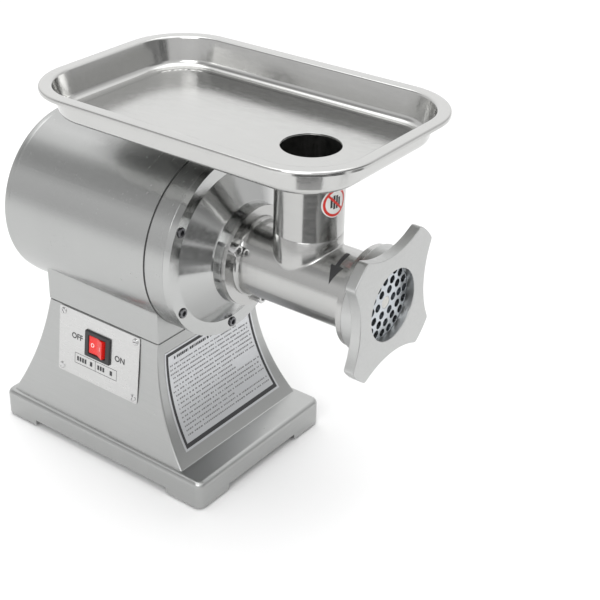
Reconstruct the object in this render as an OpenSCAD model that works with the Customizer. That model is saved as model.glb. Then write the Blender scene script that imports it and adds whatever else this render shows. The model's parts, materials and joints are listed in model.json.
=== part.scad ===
// Electric meat grinder with a size 22 grinding head. All sizes are in millimetres.
// +X runs along the motor axis to the grinding head and +Z is up. The origin is the middle of the base,
// on the surface that the rubber feet stand on.

/* [Base] */
// Length of the base slab along X
base_l = 295; // [270:1:354]
// Width of the base slab along Y
base_w = 212; // [206:1:254]
// Height of the slab's top above the floor
slab_h = 34; // [28:1:41]
// Radius along the slab's top edges
edge_r = 6; // [2:0.5:8]
// Radius of the slab's upright corners
corner_r = 9; // [4:0.5:12]
// Length of the corner pads along each side
pad_l = 48; // [40:1:60]
// Height of the arches between the pads
arch_h = 6.5; // [4:0.5:8]
// Wall of the base casting
cast_wall = 6; // [4:0.5:8]
// How far the rubber feet stand proud of the pads
foot_drop = 2.5; // [1:0.5:4]
// Height of a rubber foot
foot_h = 12; // [10.5:0.5:15]
// Radius of a rubber foot
foot_r = 13; // [10:0.5:15]
// Thickness of the sheet that closes the base
bottom_t = 1.5; // [1:0.5:2.5]

/* [Pedestal] */
// Height of the joint between the base and the motor housing
seam_z = 164; // [140:1:190]
// Distance from the origin to the pedestal's front at its top
ped_front_top = 71.5; // [66:0.5:84]
// Distance from the origin to the pedestal's front at its foot
ped_front_foot = 116; // [96:1:125]
// Distance from the origin to the pedestal's back at its top
ped_rear_top = 88; // [76:1:100]
// Distance from the origin to the pedestal's back at its foot
ped_rear_foot = 139; // [117:1:140]
// Width of the pedestal at its top
ped_w_top = 160; // [136:1:176]
// Width of the pedestal at its foot
ped_w_foot = 198; // [180:1:200]
// Radius of the front flare
front_flare_r = 187; // [156:1:224]
// Radius of the back flare
rear_flare_r = 393; // [328:1:470]
// Radius of the side flares
side_flare_r = 1016; // [850:1:1200]
// Thickness of the pedestal's top
ped_top_t = 8; // [6:0.5:10]

/* [Motor] */
// Height of the motor axis
axis_z = 257; // [250:1:270]
// Outer radius of the motor housing
motor_r = 98.3; // [96:0.1:112]
// Distance from the origin back to the end of the motor housing
motor_rear = 120.5; // [116:0.5:144]
// Wall of the motor housing
motor_wall = 5; // [4:0.5:6]
// Depth of the rear cover
rear_cover_l = 13; // [10:0.5:16]
// Length of the stator core
core_l = 50; // [42:1:56]
// Outer radius of the stator core
stator_r = 80; // [76:1:84]
// Radius of the rotor
rotor_r = 49.5; // [44:0.5:52]
// Air gap between the rotor and the stator
air_gap = 0.6; // [0.4:0.1:1]
// Radius of the motor shaft
motor_shaft_r = 8.5; // [7:0.5:8.5]

/* [Gear case] */
// Length of the gear case from the joint with the motor housing to the cover's flange
case_l = 24; // [22:0.5:29]
// Radius inside the gear case
case_bore_r = 84; // [82.5:0.5:86]
// Outer radius of the gear case and of the cover's flange
flange_r = 97.3; // [96:0.1:104]
// Thickness of the cover's flange
flange_t = 8; // [7:0.5:10]
// Radius where the cover's cone starts
cone_r = 82.7; // [80:0.1:84]
// Length of the cover's cone
cone_l = 18; // [15:0.5:22]
// Radius of the collar that carries the head
collar_r = 53.6; // [52:0.1:64]
// Length of the collar
collar_l = 11; // [9:0.5:14]
// Radius of the circle of cover screws
cover_screw_circle = 89.5; // [88.5:0.1:90]
// Number of cover screws
cover_screws_n = 6; // [6, 8]

/* [Gears] */
// Distance from the motor axis to the countershaft
gear_centres = 45; // [45]
// Teeth of the motor pinion
pinion_teeth = 15; // [15]
// Teeth of the countershaft gear
counter_teeth = 57; // [57]
// Teeth of the countershaft pinion
second_teeth = 12; // [12]
// Teeth of the output gear
output_teeth = 33; // [33]
// Tooth thinning for backlash
backlash = 0.16; // [0.1:0.02:0.3]
// Face width of the first gear pair
first_face = 14; // [10:0.5:15]
// Face width of the second gear pair
second_face = 18; // [14:0.5:19]

/* [Grinding head] */
// Thickness of the head's flange
head_flange_t = 5; // [4:0.5:8]
// Radius of the head's flange
head_flange_r = 52.7; // [52:0.1:58]
// Outer radius of the barrel
barrel_r = 39; // [38:0.1:42]
// Radius of the barrel's bore
barrel_bore_r = 34; // [32:0.1:35]
// Length from the head's flange to the enlarged front end
barrel_l = 136; // [114:1:160]
// Outer radius of the enlarged front end
nose_r = 51.4; // [49.5:0.1:53]
// Radius of the thread on the front end
thread_r = 49; // [47:0.1:49.2]
// Length of the collar behind the thread
nose_l = 6; // [5:0.5:10]
// Length of the thread
thread_l = 12; // [10:0.5:14]
// Radius of the grinding plate
plate_r = 41; // [39.5:0.1:43]
// Thickness of the grinding plate
plate_t = 8; // [6:0.5:9]
// Radius of the holes in the grinding plate
plate_hole_r = 4; // [2:0.5:4]
// Distance from the head's flange to the feed tube's axis
feed_x = 66.5; // [56:0.5:80]
// Outer radius of the feed tube
feed_r = 34.2; // [32:0.1:37]
// Wall of the feed tube
feed_wall = 2.5; // [2:0.25:3]
// Height of the weld between the feed tube and its boss
feed_weld_z = 307; // [303:1:320]
// Height of the feed tube's mouth
feed_top_z = 391.5; // [360:0.5:420]
// Pitch of the feed screw
auger_pitch = 52; // [44:1:60]
// Thickness of the feed screw's flight
flight_t = 8; // [6:0.5:10]
// Radius of the feed screw's core
auger_core_r = 15; // [13:0.5:18]
// Radius of the ring nut's lobes
lobe_r = 78.5; // [70:0.5:86]
// Smallest radius between the lobes
waist_r = 54; // [53:0.5:57]
// Radius of the hollows between the lobes
hollow_r = 96; // [80:1:112]
// Thickness of the ring nut's lobed plate
lobe_t = 11; // [8:0.5:12]
// Radius of the ring nut's aperture
aperture_r = 36.5; // [34:0.1:37.5]
// Turn of the lobes about the axis
lobe_turn = 47; // [0:1:90]

/* [Tray] */
// Length of the tray over its rim
tray_l = 380; // [336:1:420]
// Width of the tray over its rim
tray_w = 247; // [210:1:296]
// Depth of the tray
tray_d = 31; // [25:0.5:40]
// Distance from the tray's front rim to the axis of its spout
tray_front = 105; // [90:1:126]
// Width of the tray's rim
rim_w = 14; // [10:0.5:18]
// Radius of the rim's corners
rim_corner_r = 70; // [58:1:80]
// How far the tray's walls lean in over their depth
wall_lean = 5; // [3:0.5:9]
// Radius between the tray's walls and its floor
floor_fillet = 14; // [8:0.5:18]
// Thickness of the tray's sheet
sheet_t = 1.2; // [0.8:0.1:2]
// Length of the tray's spout below its floor
spout_l = 28; // [20:1:34]
// Wall of the tray's spout
spout_wall = 2; // [1.5:0.25:2.5]

/* [Switch and labels] */
// Length of the switch plate
switch_plate_l = 118; // [100:1:124]
// Height of the switch plate
switch_plate_h = 78; // [68:1:90]
// Thickness of the switch plate
switch_plate_t = 1; // [0.6:0.1:1.5]
// Width of the switch's bezel
bezel_w = 37; // [32:0.5:42]
// Height of the switch's bezel
bezel_h = 31; // [27:0.5:36]
// Angle of the rocker in its off position
rocker_tilt = 10; // [6:0.5:12]
// Radius of the round sticker on the feed tube
sticker_r = 15; // [12:0.5:18]
// Thickness of the printed labels
label_t = 0.4; // [0.2:0.1:0.8]
// Diameter of the mains lead that the gland takes
lead_d = 9; // [7:0.5:10]

/* [Fits] */
// Gap of a sliding or turning fit, on the radius
running_gap = 0.05; // [0.02:0.01:0.09]
// Gap around screws and between parts that only stand beside each other
screw_gap = 0.1; // [0.05:0.05:0.3]
// Gap on the radius of the ring nut's thread
thread_gap = 0.3; // [0.2:0.05:0.6]
// Gap between the tray's spout and the feed tube, on the radius
spout_gap = 0.4; // [0.3:0.05:0.8]

/* [Hidden] */
$fn = 64;
end_gap = 0.1;       // axial gap between parts that turn against each other
over = 1;            // how far a cutting shape runs past the face it cuts

// The gear train. Each pair's module follows from the centre distance.
first_module = 2 * gear_centres / (pinion_teeth + counter_teeth);
second_module = 2 * gear_centres / (second_teeth + output_teeth);
pinion_bore_r = 5;
addendum = 0.8;
dedendum = 1.1;

// Places along the motor axis, from the back to the front.
housing_x = -motor_rear;
case_x = ped_front_top;
gasket_t = 0.8;
case_start = case_x + gasket_t;
flange_x = case_start + case_l;
cone_x = flange_x + flange_t;
collar_x = cone_x + cone_l;
head_x = collar_x + collar_l;
flange_front = head_x + head_flange_t;
nose_x = head_x + barrel_l;
thread_x = nose_x + nose_l;
nose_end = thread_x + thread_l;
feed_axis = head_x + feed_x;

// The motor.
bulkhead_t = 16;
bulkhead_x = case_x - 49;
bulkhead_end = bulkhead_x + bulkhead_t;
core_end = bulkhead_x - 24;
core_start = core_end - core_l;
winding_over = 15;
shield_t = 12;
shield_x = -ped_rear_top - 1 - shield_t;
motor_bore_r = motor_r - motor_wall;
fan_x = housing_x - 6;
neck_floor = 8;
rim_l = 18;
rear_screw_circle = motor_bore_r - 7.5;
rear_spigot_l = 5;
wire_x = core_start - 10;
wire_hole_r = 9;

// Bearings, each as bore radius, outer radius and width.
motor_bearing = [8.5, 20, 12];
carrier_bearing = [8.5, 17.5, 10];
counter_bearing = [5, 13, 8];
output_bearing = [17.5, 31, 14];

// The gear room.
counter_z = -gear_centres;
first_x = bulkhead_end + 3;
carrier_x = first_x + first_face + 3;
carrier_t = 8;
second_x = carrier_x + carrier_bearing[2] + 4;
counter_seat_r = 8;
lug_r = 9;
lug_circle = case_bore_r - 6;
carrier_r = case_bore_r - screw_gap;
counter_seat_x = second_x + second_face + 2;
output_seat_x = cone_x + 0.5;
shaft_shoulder_r = output_bearing[0] + 2.5;
seal_l = 8;
seal_r = 26;
spigot_r = 40;
spigot_l = 5;
seal_x = head_x - spigot_l - end_gap - seal_l;
tang = 20;
socket_l = 22;
journal_r = 22;

// Screws, each as shank radius, head radius and head height.
m5 = [2.5, 4.25, 5];
m6 = [3, 5, 6];
m8 = [4, 6.5, 8];
head_bolt_circle = head_flange_r - m8[1];
head_bolts_n = 3;

// The chamber in the head's nose, for the knife and the plate.
chamber_r = plate_r + spout_gap;
plate_proud = plate_t / 2;
plate_x = nose_end + plate_proud - plate_t;
knife_t = 8;
knife_x = plate_x - end_gap - knife_t;
knife_square = 14;
stud_r = 6;
nut_x = thread_x + 0.5;
nut_lip_x = plate_x + plate_t;
nut_front = nut_lip_x + 8.5;
auger_start = head_x + 8;
auger_end = knife_x - 4;
auger_r = barrel_bore_r - 1;

// The tray.
tray_floor = feed_top_z;
tray_x0 = feed_axis + tray_front - tray_l;
tray_mid = tray_x0 + tray_l / 2;
rim_z = tray_floor + sheet_t + tray_d;
spout_r = feed_r - feed_wall - spout_gap;

// Centre of the arc of radius r that runs from the top point to the foot point and bulges inwards.
function arc_centre(top, foot, r) =
    let (d = foot - top, l = norm(d))
    (top + foot) / 2 + [-d[1], d[0]] / l * sqrt(r * r - l * l / 4);
front_arc = arc_centre([ped_front_top, seam_z], [ped_front_foot, slab_h], front_flare_r);
rear_arc = arc_centre([ped_rear_top, seam_z], [ped_rear_foot, slab_h], rear_flare_r);
side_arc = arc_centre([ped_w_top / 2, seam_z], [ped_w_foot / 2, slab_h], side_flare_r);
function side_at(z) = side_arc[0] - sqrt(pow(side_flare_r, 2) - pow(z - side_arc[1], 2));
function front_at(z) = front_arc[0] - sqrt(pow(front_flare_r, 2) - pow(z - front_arc[1], 2));
function rear_at(z) = rear_arc[0] - sqrt(pow(rear_flare_r, 2) - pow(z - rear_arc[1], 2));

// The switch plate lies on the side of the pedestal, leaning as the side does between its edges.
switch_x = -12;
switch_plate_top = seam_z - 1.5;
switch_plate_low = switch_plate_top - switch_plate_h;
switch_y_top = side_at(switch_plate_top);
switch_lean = atan((side_at(switch_plate_low) - switch_y_top) / switch_plate_h);
switch_mid = switch_plate_h / 2 + 8;
hinge_in = 3;
hinge_r = 1.2;
plate_screw_r = 1.5;
foot_inset = foot_r + cast_wall + 1;
boss_r = 10;
bolt_inset = 16;

// Half angle of an involute tooth at radius r, for a gear of module m with n teeth.
function involute(a) = tan(a) * 180 / PI - a;
function half_tooth(m, n, r) =
    let (pitch_r = m * n / 2)
    90 / n + involute(20) - involute(acos(min(1, pitch_r * cos(20) / r))) - backlash * 90 / PI / pitch_r;
function gear_outline(m, n) =
    let (base = m * n / 2 * cos(20), root = m * n / 2 - dedendum * m, tip = m * n / 2 + addendum * m,
         low = max(base, root), radii = [root, low, (low + tip) / 2, tip])
    [for (i = [0:n - 1]) for (side = [-1, 1]) for (k = [0:3])
        let (r = radii[side < 0 ? k : 3 - k], a = i * 360 / n + side * half_tooth(m, n, max(r, low)))
        r * [cos(a), sin(a)]];

// A flat shape in Y and Z, extruded along the motor axis.
module along_x(x, l) {
    translate([x, 0, axis_z]) rotate([90, 0, 90]) linear_extrude(l) children();
}

// A round bar along the motor axis, from x0 to x1.
module bar_x(x0, x1, r, y = 0, z = 0) {
    translate([x0, y, axis_z + z]) rotate([0, 90, 0]) cylinder(h = x1 - x0, r = r);
}

// A ring along the motor axis.
module ring_x(x0, x1, outer, inner, y = 0, z = 0) {
    difference() {
        bar_x(x0, x1, outer, y, z);
        bar_x(x0 - over, x1 + over, inner, y, z);
    }
}

// A shape turned about the motor axis, from points given as radius and X.
module turned_x(points) {
    translate([0, 0, axis_z]) rotate([0, 90, 0]) rotate_extrude() polygon(points);
}

// Copies turned about the motor axis.
module around_x(n, start) {
    for (i = [0:n - 1]) translate([0, 0, axis_z]) rotate([start + i * 360 / n, 0, 0]) children();
}

// A cap screw that points down -X from the face at x, with a hexagon socket.
module cap_screw(size, l) {
    difference() {
        union() {
            rotate([0, 90, 0]) cylinder(h = size[2], r = size[1]);
            translate([-l, 0, 0]) rotate([0, 90, 0]) cylinder(h = l + over, r = size[0]);
        }
        translate([size[2] / 2, 0, 0]) rotate([0, 90, 0]) cylinder(h = size[2], r = size[1] * 0.6, $fn = 6);
    }
}

// A flat rectangle with round corners, centred.
module rounded_rect(l, w, r) {
    square([l - 2 * r, w], center = true);
    square([l, w - 2 * r], center = true);
    for (x = [-1, 1], y = [-1, 1]) translate([x * (l / 2 - r), y * (w / 2 - r)]) circle(r);
}

// A section with round top corners, standing on the axis.
module arched_rect(w, h, r) {
    translate([-w / 2, 0]) square([w, h - r]);
    translate([-w / 2 + r, 0]) square([w - 2 * r, h]);
    for (x = [-1, 1]) translate([x * (w / 2 - r), h - r]) circle(r);
}

// Copies at the four corners of the base, a given distance in from its edges.
module at_corners(inset) {
    for (x = [-1, 1], y = [-1, 1])
        translate([x * (base_l / 2 - inset), y * (base_w / 2 - inset), 0]) children();
}

// Copies at the bolts between the pedestal and the motor housing.
module at_housing_bolts() {
    for (x = [bolt_inset - ped_rear_top, ped_front_top - bolt_inset], y = [-1, 1])
        translate([x, y * (ped_w_top / 2 - bolt_inset), 0]) children();
}

// The section of the pedestal between two flared sides, thinned by a wall.
module flared_section(front, front_r, front_foot, rear, rear_r, rear_foot, low, high, wall) {
    difference() {
        translate([wall - rear_foot, low]) square([front_foot + rear_foot - 2 * wall, high - low]);
        translate(front) circle(front_r + wall);
        mirror([1, 0]) translate(rear) circle(rear_r + wall);
    }
}

// The pedestal's body between two heights, thinned by a wall.
module flared_body(low, high, wall) {
    half = ped_w_foot / 2;
    intersection() {
        rotate([90, 0, 0]) linear_extrude(base_w, center = true)
            flared_section(front_arc, front_flare_r, ped_front_foot, rear_arc, rear_flare_r, ped_rear_foot,
                low, high, wall);
        rotate([90, 0, 90]) linear_extrude(base_l + 2 * cast_wall, center = true)
            flared_section(side_arc, side_flare_r, half, side_arc, side_flare_r, half, low, high, wall);
    }
}

module slab_block() {
    h = slab_h - foot_drop;
    translate([0, 0, foot_drop]) intersection() {
        linear_extrude(h) rounded_rect(base_l, base_w, corner_r);
        rotate([90, 0, 0]) linear_extrude(base_w + 2 * over, center = true) arched_rect(base_l, h, edge_r);
        rotate([90, 0, 90]) linear_extrude(base_l + 2 * over, center = true) arched_rect(base_w, h, edge_r);
    }
}

module base_arches() {
    z = foot_drop + arch_h;
    for (size = [[base_l - 2 * pad_l, base_w + 2 * over], [base_l + 2 * over, base_w - 2 * pad_l]])
        translate([-size[0] / 2, -size[1] / 2, foot_drop - over])
            cube([size[0], size[1], z - foot_drop + over]);
}

// The gland's boss stands on the back of the pedestal.
gland_z = 78;
gland_face = -rear_at(gland_z) - 9;
gland_boss_l = 22;
gland_boss_r = 16;
gland_thread_r = 8;
gland_y = 45;

module base_casting() {
    inner_top = slab_h - cast_wall;
    boss_z = foot_h + bottom_t;
    color([0.74, 0.74, 0.73]) difference() {
        union() {
            difference() {
                union() {
                    slab_block();
                    flared_body(slab_h - over, seam_z, 0);
                }
                translate([0, 0, foot_drop - over]) linear_extrude(inner_top - foot_drop + over)
                    rounded_rect(base_l - 2 * cast_wall, base_w - 2 * cast_wall, corner_r - 3);
                base_arches();
                flared_body(inner_top - over, seam_z - ped_top_t, cast_wall);
            }
            at_corners(foot_inset) translate([0, 0, boss_z])
                cylinder(h = inner_top - boss_z + over, r = boss_r);
            translate([gland_face, gland_y, gland_z]) rotate([0, 90, 0])
                cylinder(h = gland_boss_l, r = gland_boss_r);
        }
        at_corners(foot_inset) translate([0, 0, boss_z - over]) cylinder(h = 12, r = m6[0] + screw_gap);
        at_housing_bolts() translate([0, 0, seam_z - ped_top_t - over])
            cylinder(h = ped_top_t + 2 * over, r = m8[0] + screw_gap);
        translate([wire_x, 0, seam_z - ped_top_t - over]) cylinder(h = ped_top_t + 2 * over, r = wire_hole_r);
        translate([gland_face - over, gland_y, gland_z]) rotate([0, 90, 0])
            cylinder(h = gland_boss_l + 2 * over, r = gland_thread_r + screw_gap);
        on_switch_plate() translate([-bezel_w / 2 + 3, -40, switch_mid - bezel_h / 2 + 3])
            cube([bezel_w - 6, 80, bezel_h - 6]);
        on_switch_plate() switch_plate_corners() rotate([90, 0, 0])
            cylinder(h = 24, r = plate_screw_r + screw_gap, center = true);
    }
}

// The frame of the switch plate: X along it, Y out of the pedestal and into it, Z up it from its lower edge.
module on_switch_plate() {
    translate([switch_x, -side_at(switch_plate_low), switch_plate_low]) rotate([-switch_lean, 0, 0])
        children();
}

module switch_plate_corners() {
    for (x = [-1, 1], z = [6, switch_plate_h - 6])
        translate([x * (switch_plate_l / 2 - 6), 0, z]) children();
}

module bottom_plate() {
    l = base_l - 2 * cast_wall - 2 * screw_gap;
    w = base_w - 2 * cast_wall - 2 * screw_gap;
    color([0.66, 0.67, 0.68]) difference() {
        translate([0, 0, foot_h]) linear_extrude(bottom_t) rounded_rect(l, w, corner_r - 3);
        at_corners(foot_inset) translate([0, 0, foot_h - over])
            cylinder(h = bottom_t + 2 * over, r = m6[0] + screw_gap);
    }
}

module rubber_feet() {
    color([0.06, 0.06, 0.06]) at_corners(foot_inset) difference() {
        cylinder(h = foot_h, r1 = foot_r - 1.5, r2 = foot_r);
        translate([0, 0, -over]) cylinder(h = 5 + over, r = m6[1] + 1);
        cylinder(h = foot_h + over, r = m6[0] + screw_gap);
    }
}

module foot_screws() {
    color([0.7, 0.7, 0.7]) at_corners(foot_inset) translate([0, 0, 5]) rotate([0, 90, 0])
        cap_screw([m6[0], m6[1], 3], foot_h + bottom_t + 4);
}

module housing_bolts() {
    color([0.6, 0.6, 0.6]) at_housing_bolts() translate([0, 0, seam_z - ped_top_t - m8[2]]) {
        cylinder(h = m8[2], r = m8[1], $fn = 6);
        cylinder(h = m8[2] + ped_top_t + neck_floor - 2, r = m8[0]);
    }
}

// The space inside the neck, left clear of the ring that holds the stator.
module neck_hollow() {
    l = ped_rear_top + bulkhead_x - 2 * cast_wall;
    difference() {
        translate([cast_wall - ped_rear_top, cast_wall - ped_w_top / 2, seam_z + neck_floor])
            cube([l, ped_w_top - 2 * cast_wall, axis_z - seam_z - neck_floor]);
        bar_x(core_start - 2, core_end + 2, motor_r);
    }
}

// The motor's bores, kept above the floor of the neck where they cross it.
module motor_bores() {
    difference() {
        union() {
            bar_x(housing_x - over, core_start, motor_bore_r);
            bar_x(core_end, bulkhead_x, motor_bore_r);
        }
        translate([-ped_rear_top, -motor_r, seam_z - 20])
            cube([ped_rear_top + case_x, 2 * motor_r, 20 + neck_floor]);
    }
    bar_x(core_start - over, core_end + over, stator_r);
    bar_x(bulkhead_end, case_x + over, case_bore_r);
}

module motor_housing() {
    neck_l = ped_rear_top + case_x;
    lug_l = carrier_x - bulkhead_end;
    color([0.72, 0.72, 0.71]) difference() {
        union() {
            difference() {
                union() {
                    bar_x(housing_x, case_x, motor_r);
                    translate([case_x - neck_l / 2, 0, seam_z]) linear_extrude(axis_z - seam_z)
                        rounded_rect(neck_l, ped_w_top, 3);
                }
                translate([-ped_rear_top - 4, -motor_r, seam_z - 20]) cube([neck_l + 5, 2 * motor_r, 20]);
                motor_bores();
                neck_hollow();
            }
            around_x(3, 90) translate([bulkhead_end - over, lug_circle, 0]) rotate([0, 90, 0])
                cylinder(h = lug_l + over, r = lug_r);
            around_x(4, 45) translate([housing_x + rear_spigot_l + 0.5, rear_screw_circle, 0])
                rotate([0, 90, 0]) cylinder(h = 12, r = 8.5);
        }
        bar_x(bulkhead_x - over, bulkhead_x + motor_bearing[2], motor_bearing[1]);
        bar_x(bulkhead_x, bulkhead_end + over, motor_shaft_r + 3);
        bar_x(bulkhead_end - counter_bearing[2], bulkhead_end + over, counter_bearing[1], 0, counter_z);
        around_x(3, 90) translate([carrier_x - 12, lug_circle - 3, 0]) rotate([0, 90, 0])
            cylinder(h = 14, r = m5[0] + screw_gap);
        around_x(cover_screws_n, 30) translate([case_x - rim_l, cover_screw_circle, 0]) rotate([0, 90, 0])
            cylinder(h = rim_l + over, r = m6[0] + screw_gap);
        at_housing_bolts() translate([0, 0, seam_z - over]) cylinder(h = neck_floor, r = m8[0] + screw_gap);
        translate([wire_x, 0, seam_z - over]) cylinder(h = neck_floor + 3 * over, r = wire_hole_r);
        around_x(4, 45) translate([housing_x - over, rear_screw_circle, 0]) rotate([0, 90, 0])
            cylinder(h = 16, r = m5[0] + screw_gap);
    }
}

vent_rings = [22, 34, 46, 58, 70];

module rear_cover() {
    x = housing_x - rear_cover_l;
    outer = motor_r - 0.8;
    color([0.72, 0.72, 0.71]) difference() {
        turned_x([[0, x], [outer - 6, x], [outer, x + 5], [outer, housing_x - 0.6],
            [outer - 1.5, housing_x - 0.6], [outer - 1.5, housing_x], [motor_bore_r - screw_gap, housing_x],
            [motor_bore_r - screw_gap, housing_x + rear_spigot_l],
            [motor_bore_r - 4, housing_x + rear_spigot_l], [motor_bore_r - 4, x + 4], [0, x + 4]]);
        for (r = vent_rings, i = [0:round(r / 4) - 1])
            translate([x - over, 0, axis_z]) rotate([i * 360 / round(r / 4), 0, 0]) translate([0, r, 0])
                rotate([0, 90, 0]) cylinder(h = 4 + 2 * over, r = 3);
        around_x(4, 45) translate([x - over, rear_screw_circle, 0]) rotate([0, 90, 0])
            cylinder(h = rear_cover_l + 3 * over, r = m5[0] + screw_gap);
    }
}

module rear_cover_screws() {
    x = housing_x - rear_cover_l;
    color([0.25, 0.25, 0.26]) around_x(4, 45) translate([x, rear_screw_circle, 0]) mirror([1, 0, 0])
        cap_screw([m5[0], m5[1], 2.5], rear_cover_l + 13);
}

// The shield carries the motor's back bearing on four arms.
module rear_shield() {
    color([0.7, 0.7, 0.7]) difference() {
        union() {
            ring_x(shield_x, shield_x + shield_t, motor_bore_r - running_gap, motor_bore_r - 8);
            bar_x(shield_x, shield_x + shield_t, motor_bearing[1] + 7);
            around_x(4, 0) translate([shield_x + 3, motor_bearing[1] + 2, -8])
                cube([6, motor_bore_r - motor_bearing[1] - 6, 16]);
        }
        bar_x(shield_x - over, shield_x + shield_t + over, motor_bearing[1]);
    }
}

// A ball bearing as its two races and a ring of balls between them, joined by their cage.
module ball_bearing(x, size, z = 0) {
    wall = (size[1] - size[0]) * 0.28;
    w = size[2];
    mid = (size[0] + size[1]) / 2;
    n = floor(360 / (2.6 * asin((mid - size[0] - wall * 0.6) / mid)));
    ring_x(x, x + w, size[1], size[1] - wall, 0, z);
    ring_x(x, x + w, size[0] + wall, size[0], 0, z);
    ring_x(x + w * 0.35, x + w * 0.65, size[1] - wall + 0.3, size[0] + wall - 0.3, 0, z);
    for (i = [0:n - 1]) translate([x + w / 2, 0, axis_z + z]) rotate([i * 360 / n, 0, 0])
        translate([0, mid, 0]) sphere(mid - size[0] - wall * 0.6);
}

module rear_bearing() {
    color("silver") ball_bearing(shield_x, motor_bearing);
}

module motor_front_bearing() {
    color("silver") ball_bearing(bulkhead_x, motor_bearing);
}

module stator_core() {
    slots = 24;
    bore = rotor_r + air_gap;
    color([0.42, 0.43, 0.45]) difference() {
        ring_x(core_start, core_end, stator_r, bore);
        around_x(slots, 0) translate([core_start - over, bore + 2, -2.5]) cube([core_l + 2 * over, 14, 5]);
        around_x(slots, 0) translate([core_start - over, bore - over, -1]) cube([core_l + 2 * over, 4, 2]);
    }
}

module stator_windings() {
    bore = rotor_r + air_gap;
    color([0.72, 0.4, 0.16]) {
        for (x = [core_start - winding_over, core_end])
            ring_x(x, x + winding_over, bore + 17, bore + 3);
        around_x(24, 0) translate([core_start - over, bore + 4, -2.2]) cube([core_l + 2 * over, 11.5, 4.4]);
    }
}

module case_gasket() {
    color([0.2, 0.2, 0.2]) difference() {
        ring_x(case_x, case_start, motor_r - 0.8, case_bore_r + 1);
        around_x(cover_screws_n, 30) translate([case_x - over, cover_screw_circle, 0]) rotate([0, 90, 0])
            cylinder(h = gasket_t + 2 * over, r = m6[0] + screw_gap);
    }
}

module gear_case() {
    color([0.74, 0.74, 0.73]) difference() {
        ring_x(case_start, flange_x, flange_r, case_bore_r);
        around_x(cover_screws_n, 30) translate([case_start - over, cover_screw_circle, 0]) rotate([0, 90, 0])
            cylinder(h = case_l + 2 * over, r = m6[0] + screw_gap);
    }
}

// The cover: its flange, its cone and the collar for the head, with the seats for two bearings and the seal.
module front_cover() {
    seat_end = output_seat_x + output_bearing[2];
    seat_r = output_bearing[1];
    spigot = case_bore_r - running_gap;
    color([0.78, 0.78, 0.78]) difference() {
        union() {
            turned_x([[spigot - 6, flange_x - 4], [spigot, flange_x - 4], [spigot, flange_x],
                [flange_r, flange_x], [flange_r, cone_x], [cone_r, cone_x], [collar_r + 1.5, collar_x],
                [collar_r, collar_x + 1.5], [collar_r, head_x], [spigot_r + running_gap, head_x],
                [spigot_r + running_gap, seal_x + seal_l], [seal_r, seal_x + seal_l],
                [seal_r, seal_x], [seal_r - 2, seal_x],
                [seal_r - 2, seat_end], [seat_r, seat_end], [seat_r, output_seat_x],
                [seat_r + 6, output_seat_x], [seat_r + 6, cone_x + 6], [collar_r + 2, cone_x + 4],
                [spigot - 6, flange_x + 2]]);
            bar_x(counter_seat_x, cone_x + 6, counter_bearing[1] + 5, 0, counter_z);
        }
        bar_x(counter_seat_x - over, counter_seat_x + counter_bearing[2], counter_bearing[1], 0, counter_z);
        bar_x(counter_seat_x - over, seat_end, seat_r);
        around_x(cover_screws_n, 30) translate([flange_x - over, cover_screw_circle, 0]) rotate([0, 90, 0])
            cylinder(h = flange_t + 2 * over, r = m6[0] + screw_gap);
        around_x(cover_screws_n, 30) translate([cone_x - 3, cover_screw_circle, 0]) rotate([0, 90, 0])
            cylinder(h = 3 + over, r = m6[1] + screw_gap);
        around_x(head_bolts_n, 30) translate([head_x - 14, head_bolt_circle, 0]) rotate([0, 90, 0])
            cylinder(h = 14 + over, r = m8[0] + screw_gap);
    }
}

module cover_screws() {
    color([0.12, 0.12, 0.12]) around_x(cover_screws_n, 30)
        translate([cone_x - 3, cover_screw_circle, 0]) cap_screw(m6, cone_x - 3 - case_x + rim_l - 2);
}

// The plate between the two gear pairs holds the output shaft's back bearing.
module gear_carrier() {
    lug_at = lug_circle - 3;
    color([0.62, 0.62, 0.62]) union() {
        along_x(carrier_x, carrier_t) difference() {
            union() {
                circle(carrier_bearing[1] + 9);
                for (a = [90, 210, 330]) rotate(a) {
                    translate([0, -7]) square([lug_at, 14]);
                    translate([lug_at, 0]) circle(lug_r - 0.5);
                }
            }
            circle(carrier_bearing[1]);
            for (a = [90, 210, 330]) rotate(a) translate([lug_at, 0]) circle(m5[0] + screw_gap);
        }
        along_x(carrier_x + carrier_t, carrier_bearing[2] - carrier_t) difference() {
            circle(carrier_bearing[1] + 5);
            circle(carrier_bearing[1]);
        }
    }
}

module carrier_screws() {
    color([0.3, 0.3, 0.3]) around_x(3, 90) translate([carrier_x + carrier_t, lug_circle - 3, 0])
        cap_screw([m5[0], m5[1], 4], carrier_t + 10);
}

module output_front_bearing() {
    color("silver") ball_bearing(output_seat_x, output_bearing);
}

module output_rear_bearing() {
    color("silver") ball_bearing(carrier_x, carrier_bearing);
}

module countershaft_bearings() {
    color("silver") {
        ball_bearing(bulkhead_end - counter_bearing[2], counter_bearing, counter_z);
        ball_bearing(counter_seat_x, counter_bearing, counter_z);
    }
}

module oil_seal() {
    x = seal_x;
    color([0.15, 0.12, 0.1]) difference() {
        bar_x(x, x + seal_l, seal_r);
        bar_x(x - over, x + seal_l + over, output_bearing[0]);
        bar_x(x - over, x + seal_l - 2, output_bearing[0] + 3);
    }
}

module switch_plate() {
    color([0.85, 0.85, 0.84]) on_switch_plate() difference() {
        translate([0, 0, switch_plate_h / 2]) rotate([90, 0, 0]) linear_extrude(switch_plate_t)
            rounded_rect(switch_plate_l, switch_plate_h, 2.5);
        translate([-bezel_w / 2 + 2.5, -over - switch_plate_t, switch_mid - bezel_h / 2 + 2.5])
            cube([bezel_w - 5, switch_plate_t + 2 * over, bezel_h - 5]);
        switch_plate_corners() rotate([90, 0, 0])
            cylinder(h = 4 * switch_plate_t, r = plate_screw_r + screw_gap, center = true);
    }
}

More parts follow.
